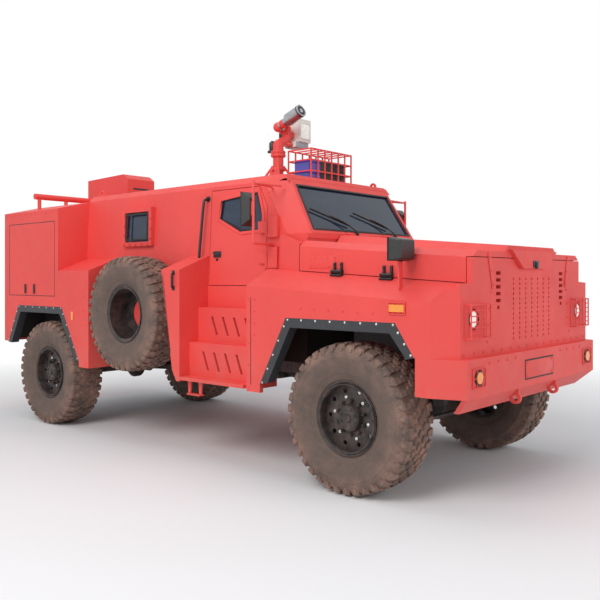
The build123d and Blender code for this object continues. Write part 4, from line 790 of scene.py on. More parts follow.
class VEHICLE_OT_cab_fittings(bpy.types.Operator):
    """Add grab handles, screen rubber, wipers, cowl boxes and window frames to the cab"""

    bl_idname = "vehicle.cab_fittings"
    bl_label = "Cab fittings"

    def execute(self, context):
        fittings = context.scene.vehicle_fittings
        handles, seals, red = bmesh.new(), bmesh.new(), bmesh.new()
        self.grab_handle(handles, fittings.handle)
        self.small_window(seals)
        self.panel_bolts(red, fittings.bolt)
        for bm in (handles, seals, red):
            both_sides(bm)
        self.screen_rubber(seals)
        self.roof_front(red)
        self.cowl_boxes(red)
        make_piece("grab_handles", handles, "mirror_shell")
        make_piece("cab_seals", seals, "black_rubber")
        make_piece("cab_red_trim", red, "red_paint")
        wipers = bmesh.new()
        self.wipers(wipers)
        make_piece("wipers", wipers, "black_rubber", slot="black_paint")
        return {"FINISHED"}

    def grab_handle(self, bm, radius):
        """The long upright handle behind the door, on two clamped feet."""
        line = [(0.163, 0.004, 2.429), (0.163, 0.050, 2.425), (0.160, 0.060, 2.390), (0.141, 0.060, 2.120),
                (0.122, 0.060, 1.855), (0.119, 0.050, 1.822), (0.119, 0.004, 1.818)]
        verts = add_pipe(bm, line, radius, 12)
        for x, z in ((0.163, 2.429), (0.119, 1.818)):
            verts += add_rod(bm, (x, 0.0, z), (x, 0.012, z), 0.030, 0.026, 20)
        lean(verts)

    def small_window(self, bm):
        """A rubber band round the glass of the crew's window."""
        outline = [(-1.082, 2.058), (-1.082, 2.346), (-0.700, 2.346), (-0.700, 2.058)]
        lean(add_frame(bm, outline, "y", 0.058, 0.066, 0.018, 0.002))

    def panel_bolts(self, bm, radius):
        """Rows of bolts on the crew window's frame and under the roof's edge."""
        frame_line = [(-1.118, 2.020), (-1.118, 2.384), (-0.664, 2.384), (-0.664, 2.020), (-1.118, 2.020)]
        for spot in list(along(frame_line, 17))[:-1]:
            add_bolt(bm, (spot.x, side_y(spot.y) + 0.0595, spot.y), (0, 1, 0.05), radius * 0.75, 0.005)
        for spot in along([(1.030, 2.440), (1.190, 2.110)], 3):
            add_bolt(bm, (spot.x - 0.060, side_y(spot.y), spot.y), (0, 1, 0.05), radius * 0.75, 0.005)

    def screen_rubber(self, bm):
        """A band round the windscreen, laid on its slope."""
        top = (SCREEN_HEAD - SCREEN_FOOT).length + 0.006
        outline = [(-0.766, -0.006), (0.766, -0.006), (0.718, top), (-0.718, top)]
        verts = add_frame(bm, outline, "z", -0.002, 0.006, 0.018, 0.002)
        spread(verts, tilted(SCREEN_FOOT, SCREEN_UP, SCREEN_OUT))

    def roof_front(self, bm):
        """The plate that closes the roof's front edge above the windscreen, on the same slope."""
        outline = [(-0.800, 0.0), (0.800, 0.0), (0.775, 0.069), (-0.775, 0.069)]
        verts = add_plate(bm, outline, "z", -0.007, -0.002)
        spread(verts, tilted((1.1555, 0, 2.5355), (-0.592, 0, 1), (1, 0, 0.592)))

    def cowl_boxes(self, bm):
        """Three low covers over the air intakes, on the ledge before the windscreen."""
        for low, high in ((-0.80, -0.30), (0.05, 0.40), (0.53, 0.80)):
            add_box(bm, (1.392, low, 2.046), (1.443, high, 2.066), 0.006)
            for y in (low + 0.03, high - 0.03):
                add_bolt(bm, (1.430, y, 2.066), (0, 0, 1), 0.006, 0.004)

    def wipers(self, bm):
        """Two arms with their blades parked on the glass."""
        for y in (-0.157, 0.471):
            pivot = Vector((1.432, y, 2.062))
            add_rod(bm, pivot, pivot + SCREEN_OUT * 0.030, 0.017, 0.014, 20)
            knee, tip = self.on_screen(y - 0.075, 0.075, 0.030), self.on_screen(y - 0.300, 0.150, 0.016)
            add_pipe(bm, [pivot + SCREEN_OUT * 0.026, knee, tip], 0.006, 8)
            start, end = self.on_screen(y - 0.05, 0.060, 0.006), self.on_screen(y - 0.53, 0.215, 0.006)
            half = (end - start).length / 2
            blade = add_box(bm, (-0.004, -half, -0.005), (0.004, half, 0.010), 0.002)
            spread(blade, tilted((start + end) / 2, end - start, SCREEN_OUT))

    def on_screen(self, y, rise, stand_off):
        """A place over the windscreen, from its foot."""
        return SCREEN_FOOT + SCREEN_UP * rise + SCREEN_OUT * stand_off + Vector((0, y, 0))


class VEHICLE_OT_nose_fittings(bpy.types.Operator):
    """Add the lamps' lenses and guards, catches, straps and bolts to the front end"""

    bl_idname = "vehicle.nose_fittings"
    bl_label = "Nose fittings"

    def execute(self, context):
        fittings = context.scene.vehicle_fittings
        guards, lenses, bezels, bolts = bmesh.new(), bmesh.new(), bmesh.new(), bmesh.new()
        self.lamp_guard(guards, fittings.guard_wire)
        self.marker_guard(guards, fittings.guard_wire)
        self.turn_lamp_guard(guards, fittings.guard_wire)
        self.headlamp(lenses, bezels)
        self.bolts(bolts, fittings.bolt)
        for bm in (guards, lenses, bezels, bolts):
            both_sides(bm)
        self.plate(bolts)
        rim = [(-0.262, 0.877), (0.272, 0.877), (0.272, 1.034), (-0.262, 1.034)]
        add_frame(bezels, rim, "x", PLATE_X, PLATE_X + 0.0045, 0.012)
        make_piece("lamp_guards", guards, "red_paint")
        make_piece("headlamp_lenses", lenses, "lamp_lens", sharp=math.radians(60))
        make_piece("lamp_bezels", bezels, "black_rubber")
        make_piece("front_bolts", bolts, "red_paint")
        catches, straps = bmesh.new(), bmesh.new()
        self.catches(catches)
        self.straps(straps, fittings.bolt)
        for bm in (catches, straps):
            both_sides(bm)
        self.beak_latch(catches)
        make_piece("bonnet_catches", catches, "mirror_shell", "bonnet")
        make_piece("bonnet_straps", straps, "red_paint", "bonnet")
        return {"FINISHED"}

    def lamp_guard(self, bm, wire):
        """A wire cage on a flat frame, standing before the headlamp."""
        x, low, high, foot, head = 3.112, 0.800, 1.086, 1.238, 1.476
        ring = [(x, low, foot), (x, high, foot), (x, high, head), (x, low, head)]
        add_pipe(bm, ring + ring[:1], wire * 1.4, 8, order=2)
        for step in range(1, 6):
            z = foot + (head - foot) * step / 6
            add_rod(bm, (x, low, z), (x, high, z), wire, segments=8)
        for step in range(1, 4):
            y = low + (high - low) * step / 4
            add_rod(bm, (x + 0.004, y, foot), (x + 0.004, y, head), wire, segments=8)
        for corner in ring:
            add_rod(bm, (3.058, corner[1], corner[2]), corner, wire * 1.3, segments=8)
        for y in (low, high):
            add_box(bm, (3.062, y - 0.010, foot - 0.010), (3.067, y + 0.010, head + 0.010), 0.002)

    def marker_guard(self, bm, wire):
        """A hoop with two bars over the side lamp on the wing."""
        y = 1.262
        for x in (2.548, 2.592, 2.638, 2.685):
            add_rod(bm, (x, y, 1.400), (x, y, 1.490), wire, segments=8)
        for z in (1.404, 1.486):
            add_rod(bm, (2.548, y, z), (2.685, y, z), wire, segments=8)

    def turn_lamp_guard(self, bm, wire):
        """Crossed wires over the turn lamp in the bumper."""
        x = 3.132
        for z in (0.900, 0.967, 1.034):
            add_rod(bm, (x, 0.910, z), (x, 1.098, z), wire, segments=8)
        for y in (0.914, 0.972, 1.036, 1.094):
            add_rod(bm, (x, y, 0.898), (x, y, 1.036), wire, segments=8)

    def headlamp(self, lenses, bezels):
        """A domed lens in a rubber ring, and the turn lamp's dark rim."""
        middle = Vector((3.057, 0.957, 1.371))
        dome = bmesh.ops.create_uvsphere(lenses, u_segments=40, v_segments=20, radius=0.058)["verts"]
        bmesh.ops.scale(lenses, vec=(0.24, 1, 1), verts=dome)
        bmesh.ops.translate(lenses, vec=middle - Vector((0.002, 0, 0)), verts=dome)
        ring = bmesh.ops.create_circle(bezels, cap_ends=False, radius=0.008, segments=12)["verts"]
        quarter = math.radians(90)
        spread(ring, Matrix.Translation((0, 0.066, 0)) @ Matrix.Rotation(quarter, 4, "Z")
               @ Matrix.Rotation(quarter, 4, "X"))
        spun(bezels, ring, edges_of(ring), (1, 0, 0), 48)
        bmesh.ops.remove_doubles(bezels, verts=bezels.verts, dist=1e-6)
        bmesh.ops.translate(bezels, vec=middle + Vector((0.006, 0, 0)), verts=bezels.verts)
        turns = [index * FULL_TURN / 16 for index in range(16)]
        rim = [(3.128, 1.005 + 0.050 * math.cos(turn), 0.967 + 0.050 * math.sin(turn)) for turn in turns]
        add_pipe(bezels, rim, 0.008, 10, closed=True)

    def bolts(self, bm, radius):
        """Bolts along the nose panel, the bumper and the wings."""
        rows = [  # points as x, y and z, the number of bolts, and the face's direction
            ([(NOSE_X, 0.090, 1.130), (NOSE_X, 1.100, 1.130)], 8, (1, 0, 0)),
            ([(NOSE_X, 0.760, 1.200), (NOSE_X, 0.700, 1.560)], 4, (1, 0, 0)),
            ([(BUMPER_X, 0.420, 1.060), (BUMPER_X, 0.840, 1.060)], 4, (1, 0, 0)),
            ([(1.180, SIDE_Y, 1.180), (1.180, SIDE_Y, 1.480)], 4, (0, 1, 0)),
            ([(1.700, SIDE_Y, 1.420), (2.400, SIDE_Y, 1.400)], 6, (0, 1, 0)),
        ]
        for line, count, normal in rows:
            for spot in along(line, count):
                add_bolt(bm, spot, normal, radius * 0.8)

    def plate(self, bm):
        """The blank number plate with four bolts."""
        front = PLATE_X + 0.008
        add_box(bm, (PLATE_X, -0.250, 0.889), (front, 0.260, 1.022), 0.002)
        for y in (-0.225, 0.235):
            for z in (0.902, 1.009):
                add_bolt(bm, (front, y, z), (1, 0, 0), 0.009)

    def catches(self, bm):
        """Over-centre catches across the crease on the bonnet's side, each with two prongs."""
        for x in (1.877, 2.358):
            z = crease_z(x)
            add_box(bm, (x - 0.050, 0.983, z + 0.006), (x + 0.050, 0.992, z + 0.030), 0.003)
            for step in (-0.034, 0.034):
                add_box(bm, (x + step - 0.010, 0.985, z + 0.010), (x + step + 0.010, 1.006, z + 0.088), 0.004)
                add_rod(bm, (x + step, 0.996, z + 0.070), (x + step, 1.012, z + 0.070), 0.007, segments=12)
            body = add_box(bm, (-0.055, -0.012, -0.030), (0.055, 0.012, 0.030), 0.007)
            turn = Matrix.Rotation(math.radians(-38), 4, "X")
            spread(body, Matrix.Translation((x, 1.012, z + 0.002)) @ turn)
            add_rod(bm, (x - 0.058, 1.026, z - 0.014), (x + 0.058, 1.026, z - 0.014), 0.009, segments=16)

    def straps(self, bm, radius):
        """Bolted straps over the bonnet's lip, and the side access plates."""
        foot, head = Vector((3.067, 0.668, 1.585)), Vector((3.067, 0.734, 1.850))
        strap = add_box(bm, (-0.020, 0, -0.003), (0.020, (head - foot).length, 0.003), 0.002)
        spread(strap, tilted(foot, head - foot, (1, 0, 0)))
        for share in (0.12, 0.5, 0.88):
            add_bolt(bm, foot.lerp(head, share) + Vector((0.002, 0, 0)), (1, 0, 0), radius * 0.8)
        add_box(bm, (1.560, 0.985, 1.742), (1.841, 0.990, 1.844), 0.002)
        rim = [(1.575, 1.757), (1.575, 1.829), (1.826, 1.829), (1.826, 1.757), (1.575, 1.757)]
        for spot in list(along(rim, 11))[:-1]:
            add_bolt(bm, (spot.x, 0.989, spot.y), (0, 1, 0), radius * 0.7, 0.005)

    def beak_latch(self, bm):
        """The bonnet's front latch on the tip of its beak."""
        add_box(bm, (3.094, -0.050, 1.748), (3.104, 0.050, 1.800), 0.004)
        add_box(bm, (3.100, -0.020, 1.735), (3.116, 0.020, 1.790), 0.005)


class VEHICLE_OT_side_fittings(bpy.types.Operator):
    """Add seams, catches, lamps and handles to the lockers, the steps and the rear"""

    bl_idname = "vehicle.side_fittings"
    bl_label = "Side fittings"

    def execute(self, context):
        fittings = context.scene.vehicle_fittings
        dark, red, amber = bmesh.new(), bmesh.new(), bmesh.new()
        self.seams(dark)
        self.catches(dark, red)
        self.bolts(red, fittings.bolt)
        add_box(amber, (-1.618, 1.250, 1.205), (-1.582, 1.262, 1.295), 0.004)
        for bm in (dark, red, amber):
            both_sides(bm)
        make_piece("side_seams", dark, "black_rubber")
        make_piece("side_red_trim", red, "red_paint")
        make_piece("side_lamps", amber, "amber_lens")
        handle = bmesh.new()
        grip = [(0.118, -1.250, 1.712), (0.122, -1.276, 1.708), (0.126, -1.279, 1.680),
                (0.126, -1.279, 1.600), (0.122, -1.276, 1.572), (0.118, -1.250, 1.568)]
        add_pipe(handle, grip, fittings.handle * 0.75, 12)
        for z in (1.712, 1.568):
            add_box(handle, (0.098, -1.259, z - 0.022), (0.138, -1.252, z + 0.022), 0.003)
        make_piece("locker_handle", handle, "mirror_shell")
        tail, lever = bmesh.new(), bmesh.new()
        self.tail_lamps(tail)
        make_piece("tail_lamp_lenses", tail, "red_lens")
        self.rear_lever(lever)
        make_piece("rear_door_lever", lever, "mirror_shell", "back_door")
        return {"FINISHED"}

    def seams(self, bm):
        """Dark joints where the lockers' lids meet their frames."""
        lines = [  # x0, z0, x1, z1
            (-2.976, 1.4575, -1.959, 1.4575), (-2.976, 1.4575, -2.976, 2.300),
            (-1.959, 1.4575, -1.959, 2.300), (-2.976, 2.300, -1.959, 2.300),
            (-0.040, 1.690, 0.075, 0.960), (1.140, 0.760, 1.140, 1.500),
        ]
        for x0, z0, x1, z1 in lines:
            start, end = Vector((x0, SIDE_Y, z0)), Vector((x1, SIDE_Y, z1))
            strip = add_box(bm, (-0.0035, 0, -0.0008), (0.0035, (end - start).length, 0.0008))
            spread(strip, tilted(start, end - start, (0, 1, 0)))

    def catches(self, dark, red):
        """Dished paddle catches in the rear locker's lid."""
        for low, high in ((-2.634, -2.557), (-2.437, -2.362)):
            outline = [(low, 1.470), (high, 1.470), (high, 1.600), (low, 1.600)]
            add_frame(red, outline, "y", SIDE_Y - 0.001, SIDE_Y + 0.005, 0.010, 0.0015)
            add_box(dark, (low + 0.010, SIDE_Y - 0.002, 1.480), (high - 0.010, SIDE_Y + 0.0012, 1.590))
            add_box(dark, (low + 0.020, SIDE_Y, 1.496), (high - 0.020, SIDE_Y + 0.007, 1.560), 0.003)

    def bolts(self, bm, radius):
        """Rows of bolts along the rear box, the sponsons and the steps."""
        rows = [  # points as x and z, and the number of bolts
            ([(-3.050, 2.405), (-1.930, 2.405)], 11),
            ([(-3.050, 1.395), (-2.030, 1.395)], 5),
            ([(-1.420, 1.160), (-1.340, 1.620)], 4),
            ([(1.110, 0.735), (1.110, 1.480)], 5),
        ]
        for line, count in rows:
            for spot in along(line, count):
                add_bolt(bm, (spot.x, SIDE_Y, spot.y), (0, 1, 0), radius * 0.7, 0.005)

    def tail_lamps(self, bm):
        """Ribbed red lenses over the outer half of each tail lamp."""
        for low in (1.070, -1.190):
            add_box(bm, (-3.1185, low + 0.002, 1.300), (-3.110, low + 0.118, 1.416), 0.003)

    def rear_lever(self, bm):
        """The rear door's upright lever in two guides, with a paddle at hand height."""
        add_rod(bm, (-3.108, 0.400, 1.080), (-3.108, 0.400, 2.240), 0.009, segments=16)
        for z in (1.110, 1.430, 1.850, 2.210):
            add_box(bm, (-3.120, 0.380, z - 0.016), (-3.094, 0.420, z + 0.016), 0.003)
        add_box(bm, (-3.120, 0.285, 1.620), (-3.106, 0.410, 1.655), 0.005)


class VEHICLE_OT_mirror_glass(bpy.types.Operator):
    """Set the glass and its rubber edge in each mirror's rear face"""

    bl_idname = "vehicle.mirror_glass"
    bl_label = "Mirror glass"

    def execute(self, context):
        glass, edge = bmesh.new(), bmesh.new()
        faces = [  # rear face's X, and its inner and outer Y, bottom and top
            (1.015, 1.095, 1.254, 2.105, 2.410),
            (2.520, 1.000, 1.240, WING_MIRROR_FOOT, 1.965),
        ]
        for x, low, high, foot, head in faces:
            add_box(glass, (x - 0.0025, low + 0.016, foot + 0.016),
                    (x + 0.001, high - 0.016, head - 0.016), 0.001)
            outline = [(low + 0.004, foot + 0.004), (high - 0.004, foot + 0.004),
                       (high - 0.004, head - 0.004), (low + 0.004, head - 0.004)]
            add_frame(edge, outline, "x", x - 0.004, x + 0.001, 0.012, 0.0015)
        both_sides(glass)
        both_sides(edge)
        make_piece("mirror_faces", glass, "mirror")
        make_piece("mirror_edges", edge, "black_rubber", slot="mirror_shell")
        return {"FINISHED"}


class VEHICLE_OT_roof_fittings(bpy.types.Operator):
    """Finish the monitor, search lamp, beacon, aerial and roof box"""

    bl_idname = "vehicle.roof_fittings"
    bl_label = "Roof fittings"

    def execute(self, context):
        bolt = context.scene.vehicle_fittings.bolt
        red, dark, steel = bmesh.new(), bmesh.new(), bmesh.new()
        self.roof_box(red, dark, bolt)
        self.beacon_base(dark, steel)
        self.aerial(dark, steel)
        for spot in along([(0.150, -0.150), (0.450, -0.150), (0.450, 0.150), (0.150, 0.150)], 7):
            add_bolt(red, (spot.x, spot.y, 2.620), (0, 0, 1), bolt * 0.9, 0.007)
        self.collar(red, (MONITOR_X, 0, 2.780), (MONITOR_X, 0, 2.812), 0.074, bolt)
        self.collar(red, (MONITOR_X, 0, 2.925), (MONITOR_X, 0, 2.9585), 0.076, bolt)
        make_piece("roof_red_trim", red, "red_paint")
        make_piece("roof_dark_trim", dark, "mirror_shell")
        make_piece("roof_bright_trim", steel, "plated_steel", slot="nozzle_alloy")
        self.swivel(bolt)
        self.nozzle()
        self.search_lamp(bolt)
        return {"FINISHED"}

    def collar(self, bm, start, end, radius, bolt):
        """A flanged collar round a pipe, with eight bolts round its rim."""
        start, end = Vector(start), Vector(end)
        way = (end - start).normalized()
        add_rod(bm, start, end, radius, segments=32, bevel=0.003)
        side = way.orthogonal().normalized()
        for index in range(8):
            arm = Matrix.Rotation(FULL_TURN * index / 8, 3, way) @ side
            add_bolt(bm, (start + end) / 2 + arm * (radius - 0.001), arm, bolt * 0.6, 0.005)

    def roof_box(self, red, dark, bolt):
        """Bolts and vents round the foot of the box on the rear roof."""
        for side in (-1, 1):
            for spot in along([(-2.870, 2.565), (-2.070, 2.565)], 8):
                add_bolt(red, (spot.x, side * 0.205, spot.y), (0, side, 0), bolt * 0.7, 0.005)
            for index in range(4):
                x = -2.760 + 0.170 * index
                low, high = sorted((side * 0.203, side * 0.2065))
                add_box(dark, (x, low, 2.610), (x + 0.110, high, 2.640), 0.001)
        for index in range(3):
            add_box(dark, (-2.0415, -0.120, 2.640 + 0.060 * index), (-2.0385, 0.120, 2.662 + 0.060 * index))

    def beacon_base(self, dark, steel):
        """The black trough and bright clamps that carry the beacon in its cage."""
        add_box(dark, (0.772, -0.292, 2.604), (0.968, 0.292, 2.634), 0.006)
        add_box(dark, (0.776, -0.110, 2.628), (0.964, 0.284, 2.814), 0.006)
        for index in range(14):
            y = -0.094 + 0.028 * index
            add_box(dark, (0.958, y - 0.004, 2.650), (0.968, y + 0.004, 2.800), 0.002)
        for y in (-0.215, 0.215):
            add_box(steel, (0.764, y - 0.018, 2.602), (0.976, y + 0.018, 2.608), 0.002)

    def aerial(self, dark, steel):
        """A whip aerial on a rubber foot beside the monitor."""
        add_rod(dark, (0.080, 0.100, ROOF_Z), (0.080, 0.100, 2.640), 0.026, 0.018, 24)
        add_rod(dark, (0.080, 0.100, 2.640), (0.080, 0.100, 2.720), 0.008, 0.006, 12)
        add_rod(steel, (0.080, 0.100, 2.720), (0.050, 0.100, 3.240), 0.0035, 0.0018, 8)

    def swivel(self, bolt):
        """Collars, gear cases and the drive motors on the monitor's turning part."""
        red, dark = bmesh.new(), bmesh.new()
        self.collar(red, (MONITOR_X, 0, 2.9605), (MONITOR_X, 0, 2.990), 0.074, bolt)
        self.collar(red, (MONITOR_X, 0.100, TILT_Z), (MONITOR_X, 0.076, TILT_Z), 0.072, bolt)
        add_rod(red, (MONITOR_X, 0.126, 3.060), (MONITOR_X, 0.126, 3.090), 0.060, segments=32, bevel=0.003)
        add_rod(dark, (0.225, -0.010, 2.995), (0.225, -0.010, 3.085), 0.034, segments=28, bevel=0.004)
        add_rod(dark, (0.225, -0.010, 3.085), (0.225, -0.010, 3.100), 0.020, segments=20)
        add_box(dark, (0.185, -0.046, 2.975), (0.262, 0.030, 3.000), 0.005)
        add_rod(dark, (0.232, 0.128, 3.150), (0.232, 0.128, 3.232), 0.030, segments=28, bevel=0.004)
        add_box(dark, (0.205, 0.096, 3.226), (0.262, 0.158, 3.262), 0.005)
        make_piece("swivel_collars", red, "red_paint", "monitor_swivel")
        make_piece("swivel_motors", dark, "mirror_shell", "monitor_swivel")

    def nozzle(self):
        """The red elbow skin, the rubber mouth ring and its inner cone."""
        red, dark, steel = bmesh.new(), bmesh.new(), bmesh.new()
        root, mouth = Vector((0.440, 0.0, 3.296)), Vector((0.620, 0.0, 3.368))
        way = (mouth - root).normalized()
        start = Vector((MONITOR_X, 0.0, TILT_Z))
        add_rod(red, start + way * 0.052, start + way * 0.100, 0.0445, segments=32, bevel=0.002)
        elbow = bmesh.ops.create_uvsphere(red, u_segments=32, v_segments=16, radius=0.0525)["verts"]
        bmesh.ops.translate(red, vec=start, verts=elbow)
        add_rod(red, (MONITOR_X, 0.050, TILT_Z), (MONITOR_X, 0.0705, TILT_Z), 0.0495, segments=32,
                bevel=0.002)
        ring = bmesh.ops.create_circle(dark, cap_ends=False, radius=0.0085, segments=12)["verts"]
        bmesh.ops.scale(dark, vec=(1.0, 1.9, 1.0), verts=ring)
        bmesh.ops.translate(dark, vec=(0.0585, 0, 0), verts=ring)
        bmesh.ops.rotate(dark, cent=(0, 0, 0), matrix=Matrix.Rotation(math.radians(90), 3, "X"), verts=ring)
        spun(dark, ring, edges_of(ring), (0, 0, 1), 40)
        bmesh.ops.remove_doubles(dark, verts=dark.verts, dist=1e-6)
        turn = Vector((0, 0, 1)).rotation_difference(way).to_matrix().to_4x4()
        spread(dark.verts, Matrix.Translation(mouth - way * 0.018) @ turn)
        add_rod(dark, mouth - way * 0.002, mouth + way * 0.0012, 0.050, segments=32)
        add_rod(steel, mouth, mouth + way * 0.006, 0.026, 0.018, 24)
        add_rod(steel, root + way * 0.020, root + way * 0.032, 0.0675, segments=40, bevel=0.001)
        make_piece("nozzle_elbow", red, "red_paint", "monitor_nozzle")
        make_piece("nozzle_ring", dark, "black_rubber", "monitor_nozzle")
        make_piece("nozzle_bands", steel, "nozzle_alloy", "monitor_nozzle")

    def search_lamp(self, bolt):
        """The lamp's lens, its cooling ribs and the grey bracket beneath."""
        lens, pale, grey = bmesh.new(), bmesh.new(), bmesh.new()
        add_box(lens, (0.4085, 0.236, 3.150), (0.4125, 0.372, 3.300), 0.002)
        outline = [(0.222, 3.136), (0.386, 3.136), (0.386, 3.314), (0.222, 3.314)]
        add_frame(pale, outline, "x", 0.408, 0.416, 0.014, 0.002)
        for index in range(7):
            x = 0.240 + 0.022 * index
            add_box(pale, (x, 0.216, 3.3485), (x + 0.006, 0.392, 3.356), 0.001)
            add_box(pale, (x, 0.3935, 3.150), (x + 0.006, 0.3975, 3.330), 0.001)
        add_box(grey, (0.236, 0.176, 3.046), (0.394, 0.378, 3.108), 0.004)
        for x in (0.260, 0.370):
            for y in (0.205, 0.350):
                add_bolt(grey, (x, y, 3.047), (0, 0, -1), bolt * 0.7, 0.005)
        make_piece("search_lamp_lens", lens, "lamp_lens", "monitor_swivel")
        make_piece("search_lamp_ribs", pale, "pale_casing", "monitor_swivel")
        make_piece("search_lamp_bracket", grey, "grey_casing", "monitor_swivel")


class VEHICLE_OT_seats(bpy.types.Operator):
    """Replace the plain seats with padded ones on steel frames"""

    bl_idname = "vehicle.seats"
    bl_label = "Seats"

    def execute(self, context):
        frames = bmesh.new()
        for row, x in (("front", 0.520), ("crew", -0.420)):
            for side, y in (("left", 0.430), ("right", -0.430)):
                place = Vector((x, y, CAB_FLOOR_Z))
                self.frame(frames, place)
                for part, low, high in (("cushion", (-0.130, -0.235, 0.312), (0.238, 0.235, 0.430)),
                                        ("back", (-0.222, -0.225, 0.380), (-0.132, 0.225, 0.905)),
                                        ("headrest", (-0.215, -0.135, 0.945), (-0.135, 0.135, 1.095))):
                    corners = [place + Vector(corner) for corner in (low, high)]
                    self.cushion(f"{row}_{side}_{part}", *corners)
        legs = make_piece("seat_frames", frames, "dark_steel")
        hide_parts("seats")
        return {"FINISHED"}

    def frame(self, bm, place):
        """Rails, pan and back tube of one seat."""
        made = add_box(bm, (-0.180, -0.180, 0.290), (0.180, 0.180, 0.308), 0.004)
        for side in (-1, 1):
            y = side * 0.165
            made += add_box(bm, (-0.180, y - 0.014, 0.002), (0.180, y + 0.014, 0.030), 0.003)
            for x in (-0.140, 0.140):
                made += add_box(bm, (x - 0.018, y - 0.010, 0.028), (x + 0.018, y + 0.010, 0.296), 0.003)
            tube = [(-0.120, y, 0.300), (-0.200, y, 0.305), (-0.230, y, 0.360), (-0.2305, y, 0.940),
                    (-0.228, y - side * 0.020, 0.985)]
            made += add_pipe(bm, tube, 0.009, 8)
            post = side * 0.060
            made += add_rod(bm, (-0.175, post, 0.890), (-0.175, post, 0.960), 0.006, segments=12)
        bmesh.ops.translate(bm, vec=place, verts=made)

    def cushion(self, name, low, high):
        """A crowned cushion with soft edges and shallow channels."""
        low, high = Vector(low), Vector(high)
        half = (high - low) / 2
        bm = bmesh.new()
        made = bmesh.ops.create_cube(bm, size=2.0)["verts"]
        bmesh.ops.subdivide_edges(bm, edges=bm.edges[:], cuts=13, use_grid_fill=True)
        thin = min(range(3), key=lambda axis: half[axis])
        wide = [axis for axis in range(3) if axis != thin]
        for vert in bm.verts:
            u, v = (max(-1.0, min(1.0, vert.co[axis])) for axis in wide)
            rim = (1 - u ** 8) * (1 - v ** 8)
            crown = 0.62 + 0.38 * (math.cos(u * math.pi / 2) * math.cos(v * math.pi / 2)) ** 0.45
            channel = 1 - 0.055 * math.exp(-((abs(u) - 0.42) / 0.045) ** 2)
            for axis in wide:
                other = v if axis == wide[0] else u
                vert.co[axis] *= half[axis] * (1 - 0.05 * other ** 4 - 0.02 * abs(vert.co[thin]))
            vert.co[thin] *= half[thin] * (0.55 + 0.45 * rim) * crown * channel
        bmesh.ops.translate(bm, vec=(low + high) / 2, verts=bm.verts)
        piece = make_piece(name, bm, "seat_cloth", sharp=math.radians(80))
        smooth = piece.modifiers.new("soft", "SUBSURF")
        smooth.levels = smooth.render_levels = 1
        return piece


class VEHICLE_OT_cab_interior(bpy.types.Operator):
    """Add dials and vents to the driver's place"""

    bl_idname = "vehicle.cab_interior"
    bl_label = "Cab interior"

    def execute(self, context):
        dark, bright = bmesh.new(), bmesh.new()
        for y in (0.330, 0.430, 0.530):
            add_rod(dark, (1.086, y, 1.866), (1.070, y, 1.872), 0.044, 0.046, 28)
            add_rod(bright, (1.0715, y, 1.8715), (1.069, y, 1.8725), 0.037, segments=28)
        for y in (-0.700, -0.150, 0.120, 0.780):
            add_box(dark, (1.064, y - 0.060, 1.800), (1.082, y + 0.060, 1.860), 0.004)
        make_piece("dash_dials", dark, "black_rubber", slot="dash_plastic")
        make_piece("dial_faces", bright, "grey_casing", slot="dash_plastic")
        return {"FINISHED"}


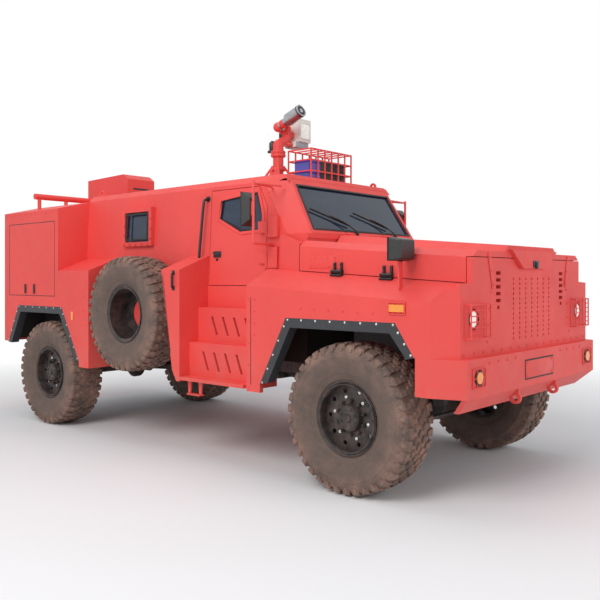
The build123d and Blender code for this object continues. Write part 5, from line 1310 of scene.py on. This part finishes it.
class VEHICLE_OT_stage(bpy.types.Operator):
    """Set up the floor, the light and the camera"""

    bl_idname = "vehicle.stage"
    bl_label = "Stage"

    def execute(self, context):
        scene = context.scene
        self.floor()
        self.world(scene)
        self.lamps()
        self.camera(scene)
        scene.view_settings.view_transform = "Standard"
        return {"FINISHED"}

    def floor(self):
        """A round pale floor that fades into the white backdrop away from the vehicle."""
        bm = bmesh.new()
        bmesh.ops.create_circle(bm, cap_ends=True, radius=40.0, segments=96)
        bmesh.ops.translate(bm, vec=(0, 0, -0.001), verts=bm.verts)
        mesh = bpy.data.meshes.new("floor")
        bm.to_mesh(mesh)
        bm.free()
        pale = Finish("pale floor")
        pale.done((0.90, 0.90, 0.90), 0.9)
        far = pale.span(pale.length(pale.place), 3.5, 8.5)
        white = pale.node("Emission").outputs["Emission"]
        shown = pale.backdrop(far, pale.shader.outputs["BSDF"], white)
        pale.feed(pale.tree.nodes["Material Output"], {"Surface": shown})
        mesh.materials.append(pale.material)
        floor = bpy.data.objects.new("floor", mesh)
        bpy.context.scene.collection.objects.link(floor)

    def world(self, scene):
        """Soft light all round, and a plain white backdrop where the camera looks."""
        world = bpy.data.worlds.new("studio")
        scene.world = world
        world.use_nodes = True
        studio = Nodes(world.node_tree)
        light = studio.tree.nodes["Background"]
        studio.feed(light, {"Color": (0.92, 0.95, 1.0), "Strength": 0.46})
        white = studio.node("Background", {"Color": (1.0, 1.0, 1.0)})
        shown = studio.backdrop(1.0, light.outputs["Background"], white.outputs["Background"])
        studio.feed(studio.tree.nodes["World Output"], {"Surface": shown})

    def lamps(self):
        """A broad key light above the right side, a weaker fill before the nose and one overhead."""
        lamps = [  # name, place, aimed at, size, power
            ("key", (2.5, -9.0, 7.5), (0.0, -0.8, 1.2), 6.0, 545.0),
            ("fill", (11.0, 1.5, 4.5), (2.5, 0.0, 1.3), 5.0, 190.0),
            ("top", (-1.0, -1.0, 9.5), (0.0, 0.0, 1.5), 7.0, 130.0),
        ]
        for name, place, aim, size, power in lamps:
            light = bpy.data.lights.new(name, "AREA")
            light.shape = "DISK"
            light.size = size
            light.energy = power
            lamp = bpy.data.objects.new(name, light)
            lamp.location = place
            lamp.rotation_euler = (Vector(aim) - Vector(place)).to_track_quat("-Z", "Y").to_euler()
            bpy.context.scene.collection.objects.link(lamp)

    def camera(self, scene):
        """The photograph's view: level, from ahead of the right front corner."""
        lens = bpy.data.cameras.new("camera")
        lens.lens = 45.05
        lens.sensor_width = 36.0
        lens.shift_x = 0.0172
        lens.shift_y = -0.0373
        camera = bpy.data.objects.new("camera", lens)
        camera.location = (5.63, -5.774, 1.666)
        camera.rotation_euler = Vector((-0.667, 0.745, 0.0)).to_track_quat("-Z", "Y").to_euler()
        scene.collection.objects.link(camera)
        scene.camera = camera


class VEHICLE_PT_panel(bpy.types.Panel):
    """Settings and steps of the fire reconnaissance vehicle"""

    bl_idname = "VEHICLE_PT_panel"
    bl_label = "Fire vehicle"
    bl_space_type = "VIEW_3D"
    bl_region_type = "UI"
    bl_category = "Vehicle"

    def draw(self, context):
        scene = context.scene
        for settings in (scene.vehicle_paint, scene.vehicle_tread, scene.vehicle_fittings):
            box = self.layout.box()
            for name in settings.__annotations__:
                box.prop(settings, name)
        for operator in OPERATORS:
            self.layout.operator(operator.bl_idname)


OPERATORS = (
    VEHICLE_OT_finishes,
    VEHICLE_OT_tyres,
    VEHICLE_OT_wheel_fittings,
    VEHICLE_OT_arch_fittings,
    VEHICLE_OT_door_fittings,
    VEHICLE_OT_cab_fittings,
    VEHICLE_OT_nose_fittings,
    VEHICLE_OT_side_fittings,
    VEHICLE_OT_mirror_glass,
    VEHICLE_OT_roof_fittings,
    VEHICLE_OT_seats,
    VEHICLE_OT_cab_interior,
    VEHICLE_OT_stage,
)
SETTINGS = (PaintSettings, TreadSettings, FittingSettings)


def register():
    for item in (*SETTINGS, *OPERATORS, VEHICLE_PT_panel):
        bpy.utils.register_class(item)
    bpy.types.Scene.vehicle_paint = PointerProperty(type=PaintSettings)
    bpy.types.Scene.vehicle_tread = PointerProperty(type=TreadSettings)
    bpy.types.Scene.vehicle_fittings = PointerProperty(type=FittingSettings)


def unregister():
    del bpy.types.Scene.vehicle_fittings
    del bpy.types.Scene.vehicle_tread
    del bpy.types.Scene.vehicle_paint
    for item in (VEHICLE_PT_panel, *reversed(OPERATORS), *reversed(SETTINGS)):
        bpy.utils.unregister_class(item)


def main():
    register()
    bpy.ops.vehicle.finishes()
    bpy.ops.vehicle.tyres()
    bpy.ops.vehicle.wheel_fittings()
    bpy.ops.vehicle.arch_fittings()
    bpy.ops.vehicle.door_fittings()
    bpy.ops.vehicle.cab_fittings()
    bpy.ops.vehicle.nose_fittings()
    bpy.ops.vehicle.side_fittings()
    bpy.ops.vehicle.mirror_glass()
    bpy.ops.vehicle.roof_fittings()
    bpy.ops.vehicle.seats()
    bpy.ops.vehicle.cab_interior()
    bpy.ops.vehicle.stage()


if __name__ == "__main__":
    main()
